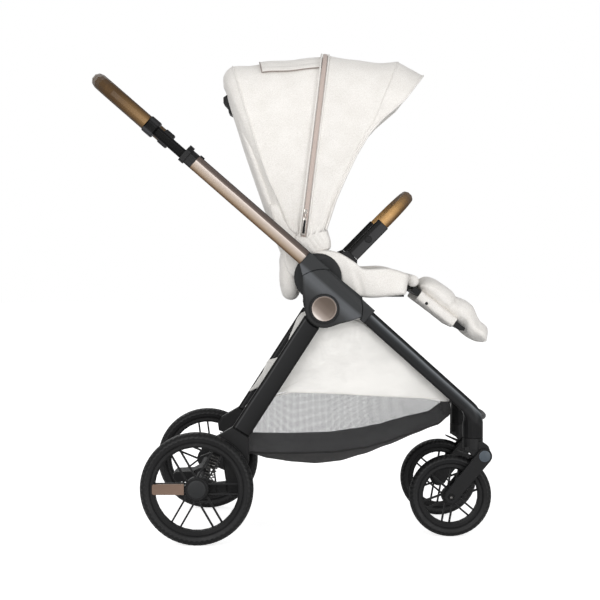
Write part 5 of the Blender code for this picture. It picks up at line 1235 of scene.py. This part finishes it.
PANEL = [
    (0.0700, 0.4900), (0.1400, 0.4960), (0.1800, 0.4780), (0.2560, 0.4130), (0.3250, 0.3500), (0.3640, 0.3120),
    (0.3580, 0.3045), (0.2900, 0.3165),
    (0.2300, 0.3215), (0.1200, 0.3290), (0.0630, 0.3318), (0.0100, 0.3330), (-0.0300, 0.3280), (-0.0800, 0.3050),
    (-0.0970, 0.2960), (-0.0900, 0.3060),
    (-0.0828, 0.3142), (-0.0712, 0.3324), (-0.0628, 0.3440), (-0.0547, 0.3637), (-0.0475, 0.3760), (-0.0330, 0.3790),
    (0.0030, 0.3960), (0.0020, 0.4240),
    (0.0113, 0.4497), (0.0278, 0.4859), (0.0480, 0.4960),
]


def basket_x(share):
    """Place along the basket."""
    return BASKET_FIRST + (BASKET_LAST - BASKET_FIRST) * share


def net_side(side):
    """Net wall on one side of the basket, drawn in at its foot."""
    def place(u, v):
        x = basket_x(u)
        low, high = height_at(BASKET_SEAM, x), height_at(BASKET_RIM, x) + 0.004
        z = low + (high - low) * v
        bulge = 0.004 * math.sin(math.pi * v) * math.sin(math.pi * u)
        wave = 0.0010 * noise.noise(Vector((x * 18, side * 2.0, z * 22)))
        return Vector((x, side * (basket_half(x) - 0.0035 - 0.010 * (1 - v) ** 2 + bulge + wave), z))
    return place


def net_end(x):
    """End wall of the basket."""
    def place(u, v):
        across = 2 * u - 1
        edge, deep, rim = (height_at(line, x) for line in (BASKET_SEAM, BASKET_FLOOR, BASKET_RIM))
        low = edge + (deep - edge) * (1 - abs(across) ** 3.2)
        narrow = basket_half(x) - 0.0035 - 0.010 * (1 - v) ** 2
        return Vector((x, across * narrow, low + (rim - 0.010 * (1 - across ** 2) - low) * v))
    return place


def basket_floor(u, v):
    """Floor that sags between its side seams."""
    x, across = basket_x(u), 2 * v - 1
    edge, deep = height_at(BASKET_SEAM, x), height_at(BASKET_FLOOR, x)
    sag = 1 - abs(across) ** 3.2
    wave = 0.0016 * noise.noise(Vector((x * 13, across * 3.3, 1.7))) * sag
    return Vector((x, across * (basket_half(x) - 0.0135), edge + (deep - edge) * sag + wave))


def cloth_panel(side):
    """Cloth between the legs on one side, over the basket's net."""
    outline, centre = rounded(PANEL, 150), Vector((0.085, 0.385))

    def place(u, v):
        x, z = centre.lerp(Vector(outline[round(u * 150) % 150]), v)
        dent = 0.0016 * noise.noise(Vector((x * 15, 0.3, z * 26)))
        dent += 0.0010 * noise.noise(Vector((x * 40, 0.9, z * 30)))
        puff = 0.0030 * (1 - v ** 2)
        return Vector((x, side * (basket_half(x) + 0.0012 - puff + dent * (1 - v ** 6)), z))
    return place


class PRAM_OT_basket(bpy.types.Operator):
    """Make the basket: net walls, a sagging dark floor, cloth panels and bindings"""

    bl_idname = "pram.basket"
    bl_label = "Basket"

    def execute(self, context):
        mesh, white, up = "grey_mesh", "white_fabric", (0, 0, 1)
        for tag, side in SIDES:
            size, replaces = (0.47, 0.13), ["basket"] if tag == "r" else ()
            net = sheet_piece(f"basket_net_{tag}", "net", "chassis", (96, 24), net_side(side), size, replaces)
            thicken(net, context.scene.pram_sizes.net)

        size = (0.50, 0.42)
        floor = sheet_piece("basket_floor_cloth", "floor", "chassis", (96, 56), basket_floor, size)
        floor.data.materials.append(FINISHES["binding"])
        thicken(floor, 0.0020)
        for name, finish, x in (("front", "floor", BASKET_LAST), ("rear", "net", BASKET_FIRST)):
            size = (0.26, 0.05)
            wall = sheet_piece(f"basket_{name}_wall", finish, "chassis", (48, 10), net_end(x), size)
            thicken(wall, 0.0014, 0.0)

        for tag, side in SIDES:
            name, size = f"basket_panel_{tag}", (0.5, 0.2)
            cloth = sheet_piece(name, "lining", "chassis", (150, 26), cloth_panel(side), size, merge=True)
            thicken(cloth, 0.0014, 0.0)
            rim = [
                Vector((x, side * (basket_half(x) + 0.0010), height_at(BASKET_RIM, x) + 0.0022))
                for x in spread(-0.030, 0.340, 60)
            ]
            tube_piece(f"basket_rim_hem_{tag}", "cloth", "chassis", white, rim, 0.0016, flat=0.6, up=up)
            low = [
                Vector((x, side * (basket_half(x) - 0.0130), height_at(BASKET_SEAM, x)))
                for x in spread(BASKET_FIRST, BASKET_LAST, 80)
            ]
            tube_piece(f"basket_floor_binding_{tag}", "binding", "chassis", mesh, low, 0.0024, flat=0.7, up=up)

        bm = bmesh.new()
        for x, end, half, count, radius in (
            (-0.101, BASKET_FIRST, 0.196, 40, 0.0035), (0.371, BASKET_LAST, 0.124, 30, 0.0030),
        ):
            top = height_at(BASKET_RIM, end)
            tube(bm, [Vector((x, y, top - 0.010 * (1 - (y / half) ** 2))) for y in spread(-half, half, count)], radius)
        make_piece("basket_end_bindings", bm, "binding", "chassis")
        return {"FINISHED"}


# Wheels


def tyre(name, node, body, track, centre, radius, depth, width, blocks, groove):
    """Tyre with a rounded tread whose shoulders are cut into blocks."""
    bm = bmesh.new()
    inner = radius - depth
    profile = [
        (inner, -0.30), (inner + 0.0012, -0.40), (inner + depth * 0.30, -0.47), (inner + depth * 0.42, -0.470),
        (inner + depth * 0.46, -0.495),
        (inner + depth * 0.62, -0.49), (inner + depth * 0.78, -0.43), (inner + depth * 0.90, -0.33),
        (inner + depth * 0.97, -0.20), (radius, -0.07),
    ]
    profile += [(r, -h) for r, h in reversed(profile)] + profile[:1]
    middle = Vector((centre[0], track, centre[1]))
    ring(bm, middle, (0, 1, 0), [(r, h * width) for r, h in profile], blocks * 4)
    closed(bm)
    for vertex in bm.verts:
        out = vertex.co - middle
        flat = Vector((out.x, 0, out.z))
        reach, across = flat.length, abs(out.y) / width
        turn = math.atan2(out.z, out.x) / math.tau * blocks
        shoulder = min(
            1.0, max(0.0, (reach - inner - depth * 0.55) / (depth * 0.25)),
        ) * min(1.0, max(0.0, (across - 0.10) / 0.12))
        cut = groove * shoulder if turn % 1.0 < 0.30 else 0.0
        vertex.co -= flat.normalized() * cut
        vertex.co.y -= math.copysign(0.5 * cut, out.y)
    return make_piece(name, bm, "rubber", body, [node], sharp=50)


class PRAM_OT_tyres(bpy.types.Operator):
    """Make the four tyres with their block tread"""

    bl_idname = "pram.tyres"
    bl_label = "Tyres"

    def execute(self, context):
        sizes = context.scene.pram_sizes
        for place, blocks in (("rear", sizes.rear_blocks), ("front", sizes.front_blocks)):
            for tag, _ in SIDES:
                node = f"{place}_wheel_{tag}_tyre"
                low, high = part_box(node)
                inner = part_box(f"{place}_wheel_{tag}")
                radius = (high.z - low.z) / 2
                rim = (inner[1].z - inner[0].z) / 2
                tyre(
                    f"{place}_tyre_{tag}", node, f"{place}_wheel_{tag}", (low.y + high.y) / 2,
                    ((low.x + high.x) / 2, (low.z + high.z) / 2),
                    radius, radius - rim + 0.0006, high.y - low.y, blocks, sizes.tread_depth,
                )
        return {"FINISHED"}


# Places of the axles in the side view, and profiles as (radius, height) over the outer face
REAR_AXLE, FORK_PIVOT, FRONT_AXLE = (-0.200, 0.125), (0.443, 0.185), (0.368, 0.093)
HUB_CAP = [(0.0, 0.0016), (0.0150, 0.0013), (0.0195, 0.0004), (0.0208, -0.0012), (0.0208, -0.0030)]
HUB_LIP = [
    (0.0222, -0.0030), (0.0222, 0.0006), (0.0234, 0.0014), (0.0248, 0.0006), (0.0250, -0.0030), (0.0222, -0.0030),
]
FORK_CAP = [(0.0, 0.0016), (0.0105, 0.0013), (0.0126, 0.0006), (0.0132, -0.0006), (0.0132, -0.0030)]
SCREW_RIM = [(0.0028, -0.0006), (0.0036, 0.0012), (0.0066, 0.0014), (0.0076, 0.0004), (0.0078, -0.0020)]
SCREW = [(0.0, 0.0004), (0.0012, 0.0004), (0.0028, 0.0009), (0.0030, -0.0010)]


class PRAM_OT_wheel_trim(bpy.types.Operator):
    """Make the rear hubs' caps and lips, and the forks' round caps and screws"""

    bl_idname = "pram.wheel_trim"
    bl_label = "Wheel trim"

    def execute(self, context):
        for tag, side in SIDES:
            for name, finish, carrier, slot, (x, z), profile, steps in (
                ("rear_hub_cap", "satin", "rear_wheel", "satin_black", REAR_AXLE, HUB_CAP, 48),
                ("rear_hub_ring", "plastic", "rear_wheel", "black_plastic", REAR_AXLE, HUB_LIP, 48),
                ("fork_cap", "cap", "fork", "black_plastic", FORK_PIVOT, FORK_CAP, 40),
                ("fork_screw_rim", "gloss", "fork", "black_metal", FRONT_AXLE, SCREW_RIM, 32),
                ("fork_screw", "steel", "fork", "spring_steel", FRONT_AXLE, SCREW, 24),
            ):
                body = f"{carrier}_{tag}"
                low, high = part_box(body)
                centre = (x, high.y if side > 0 else low.y, z)
                turned_piece(f"{name}_{tag}", finish, body, centre, side, profile, steps)
        return {"FINISHED"}


# Small trim


ADAPTER = (0.067, 0.589)
HUB_RING = [
    (0.0277, -0.0010), (0.0279, 0.0042), (0.0288, 0.0052), (0.0318, 0.0050), (0.0330, 0.0036), (0.0332, -0.0010),
    (0.0277, -0.0010),
]


class PRAM_OT_trim(bpy.types.Operator):
    """Make the adapters' buttons and the rings round the hubs' discs"""

    bl_idname = "pram.trim"
    bl_label = "Trim"

    def execute(self, context):
        radius, first, turn, steps = 0.0480, 62, 56, 24
        for tag, side in SIDES:
            edge = [(first + turn * step / steps, radius) for step in range(steps + 1)]
            edge += [
                (first + turn - turn * step / steps, radius - 0.0110 * math.sin(math.pi * step / steps))
                for step in range(1, steps)
            ]
            bm = bmesh.new()
            verts = []
            for degrees, reach in edge:
                angle = math.radians(degrees)
                x, z = ADAPTER[0] + math.cos(angle) * reach, ADAPTER[1] + math.sin(angle) * reach
                verts.append(bm.verts.new((x, side * 0.2026, z)))
            lifted = bmesh.ops.extrude_face_region(bm, geom=[bm.faces.new(verts)])
            top = [item for item in lifted["geom"] if isinstance(item, bmesh.types.BMVert)]
            bmesh.ops.translate(bm, verts=top, vec=(0, side * 0.0014, 0))
            closed(bm)
            make_piece(f"adapter_button_{tag}", bm, "satin", "seat", sharp=35)
            centre = (HUB[0], side * 0.2440, HUB[1])
            turned_piece(f"hub_ring_{tag}", "plastic", "chassis", centre, side, HUB_RING, 64)
        return {"FINISHED"}


class PRAM_OT_finishes(bpy.types.Operator):
    """Give every carried part its finish and soft edges"""

    bl_idname = "pram.finishes"
    bl_label = "Finishes"

    def execute(self, context):
        make_finishes(context.scene.pram_colours, context.scene.pram_sizes)
        by_slot = {
            "satin_black": "satin", "black_plastic": "plastic", "black_metal": "gloss", "champagne_metal": "champagne",
            "bronze_leather": "leather", "tyre_rubber": "rubber", "white_fabric": "cloth", "grey_mesh": "floor",
            "spring_steel": "steel",
        }
        own = (
            ("wheel_insert", "champagne", "insert"), ("outer_tube", "champagne", "tube"),
            ("handle_rod", "gloss", "rod"), ("handle_socket", "satin", "hub"),
            ("hub_cover", "satin", "hub"), ("front_leg", "satin", "front_leg"), ("rear_leg", "satin", "rear_leg"),
            ("bumper_arm", "plastic", "bumper_arm"),
            ("bumper_grip", "leather", "bumper_leather"), ("hub_disc", "champagne", "disc"),
        )
        for name, node in NODES.items():
            slots = node.data.materials
            for index, material in enumerate(slots):
                chosen = by_slot[material.name.split(".")[0]]
                for start, usual, finish in own:
                    if name.startswith(start) and chosen == usual:
                        chosen = finish
                slots[index] = FINISHES[chosen]
            weld = node.modifiers.new("Weld", "WELD")
            weld.merge_threshold = 0.00002
            bevel = node.modifiers.new("Soft edges", "BEVEL")
            bevel.width = 0.0007 if "hub" in name or "socket" in name or "adapter" in name else 0.0005
            bevel.segments = 2
            bevel.limit_method = "ANGLE"
            bevel.angle_limit = math.radians(38)
            bevel.harden_normals = False
            bevel.use_clamp_overlap = True
        return {"FINISHED"}


# Studio


# How bright the white surroundings are on matt and on shiny surfaces, and how far the floor glows
WORLD_LIGHT, WORLD_SHINE, FLOOR_GLOW = 0.62, 0.50, 0.72

# Name, place, aim, size in metres and power in watts
LIGHTS = (
    ("Key", (-1.4, -3.6, 1.9), (0.0, 0.0, 0.6), 2.2, 66.0),
    ("Top", (0.3, -0.2, 3.4), (0.0, 0.0, 0.5), 2.4, 4.0),
    ("Fill", (2.2, -3.4, 1.0), (0.0, 0.0, 0.5), 1.8, 46.0),
    ("Back", (-1.2, 3.0, 2.2), (0.0, 0.0, 0.6), 2.0, 16.0),
)
CAMERA_PLACE = (0.0, -3.93, 0.6725)
CAMERA_PITCH, CAMERA_YAW = 90 - 2.07, -0.42
FOCAL_LENGTH = 100.6


def add_node(tree, kind, settings, inputs):
    """Add a node to a tree, set it and give its sockets a value or a link each."""
    made = tree.nodes.new(kind)
    for key, value in settings.items():
        setattr(made, key, value)
    for key, value in inputs.items():
        if isinstance(value, bpy.types.NodeSocket):
            tree.links.new(value, made.inputs[key])
        else:
            made.inputs[key].default_value = value
    return made.outputs


def direct_view(tree):
    """Empty a tree, and give its light path with a value that is 1 where the camera looks straight at a spot."""
    tree.nodes.clear()
    path = add_node(tree, "ShaderNodeLightPath", {}, {})
    rays = {0: path["Is Camera Ray"], 1: path["Is Transmission Ray"]}
    return path, add_node(tree, "ShaderNodeMath", {"operation": "MAXIMUM"}, rays)[0]


class PRAM_OT_stage(bpy.types.Operator):
    """Make the floor, the light and the camera"""

    bl_idname = "pram.stage"
    bl_label = "Stage"

    def execute(self, context):
        scene = context.scene
        scene.view_settings.view_transform = "Standard"
        world = bpy.data.worlds.new("Studio")
        scene.world = world
        world.use_nodes = True
        tree = world.node_tree
        path, seen = direct_view(tree)
        lit = add_node(tree, "ShaderNodeBackground", {}, {"Strength": WORLD_LIGHT})[0]
        white = add_node(tree, "ShaderNodeBackground", {}, {"Color": (1, 1, 1, 1), "Strength": 1.0})[0]
        shine = add_node(tree, "ShaderNodeBackground", {}, {"Strength": WORLD_SHINE})[0]
        unseen = add_node(tree, "ShaderNodeMixShader", {}, {0: path["Is Glossy Ray"], 1: lit, 2: shine})[0]
        mix = add_node(tree, "ShaderNodeMixShader", {}, {0: seen, 1: unseen, 2: white})[0]
        add_node(tree, "ShaderNodeOutputWorld", {}, {0: mix})

        bm = bmesh.new()
        bmesh.ops.create_circle(bm, cap_ends=True, segments=64, radius=14.0)
        mesh = bpy.data.meshes.new("studio_floor")
        bm.to_mesh(mesh)
        bm.free()
        ground = bpy.data.objects.new("studio_floor", mesh)
        scene.collection.objects.link(ground)
        material = bpy.data.materials.new("studio_white")
        material.use_nodes = True
        tree = material.node_tree
        _, seen = direct_view(tree)
        paint = add_node(tree, "ShaderNodeBsdfDiffuse", {}, {"Color": (0.80, 0.80, 0.80, 1)})[0]
        glow = add_node(tree, "ShaderNodeEmission", {}, {"Strength": FLOOR_GLOW})[0]
        both = add_node(tree, "ShaderNodeAddShader", {}, {0: paint, 1: glow})[0]
        mix = add_node(tree, "ShaderNodeMixShader", {}, {0: seen, 1: paint, 2: both})[0]
        add_node(tree, "ShaderNodeOutputMaterial", {}, {0: mix})
        mesh.materials.append(material)

        for name, place, aim, size, power in LIGHTS:
            light = bpy.data.lights.new(name, "AREA")
            light.size = size
            light.energy = power
            lamp = bpy.data.objects.new(name, light)
            scene.collection.objects.link(lamp)
            lamp.location = place
            lamp.rotation_mode = "QUATERNION"
            lamp.rotation_quaternion = (Vector(aim) - Vector(place)).to_track_quat("-Z", "Y")

        lens = bpy.data.cameras.new("Camera")
        lens.sensor_width = 36.0
        lens.lens = FOCAL_LENGTH
        camera = bpy.data.objects.new("Camera", lens)
        scene.collection.objects.link(camera)
        camera.location = CAMERA_PLACE
        camera.rotation_euler = (math.radians(CAMERA_PITCH), 0.0, math.radians(CAMERA_YAW))
        scene.camera = camera
        return {"FINISHED"}


class PRAM_PT_panel(bpy.types.Panel):
    """Lists the pram's sizes, colours and pieces"""

    bl_idname = "PRAM_PT_panel"
    bl_label = "Pram"
    bl_space_type = "VIEW_3D"
    bl_region_type = "UI"
    bl_category = "Pram"

    def draw(self, context):
        for group in (context.scene.pram_sizes, context.scene.pram_colours):
            box = self.layout.box()
            for name in group.__annotations__:
                box.prop(group, name)
        for operator in OPERATORS:
            self.layout.operator(operator.bl_idname)


OPERATORS = (
    PRAM_OT_finishes, PRAM_OT_tyres, PRAM_OT_wheel_trim, PRAM_OT_rear_canopy, PRAM_OT_front_canopy, PRAM_OT_canopy_zip,
    PRAM_OT_cushions, PRAM_OT_seat_cover, PRAM_OT_basket, PRAM_OT_trim, PRAM_OT_stage,
)
CLASSES = (PramSizes, PramColours, *OPERATORS, PRAM_PT_panel)


def register():
    for made in CLASSES:
        bpy.utils.register_class(made)
    bpy.types.Scene.pram_sizes = PointerProperty(type=PramSizes)
    bpy.types.Scene.pram_colours = PointerProperty(type=PramColours)


def unregister():
    del bpy.types.Scene.pram_sizes
    del bpy.types.Scene.pram_colours
    for made in reversed(CLASSES):
        bpy.utils.unregister_class(made)


def main():
    """Register the add-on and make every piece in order."""
    register()
    for operator in OPERATORS:
        group, name = operator.bl_idname.split(".")
        getattr(getattr(bpy.ops, group), name)()


if __name__ == "__main__":
    main()
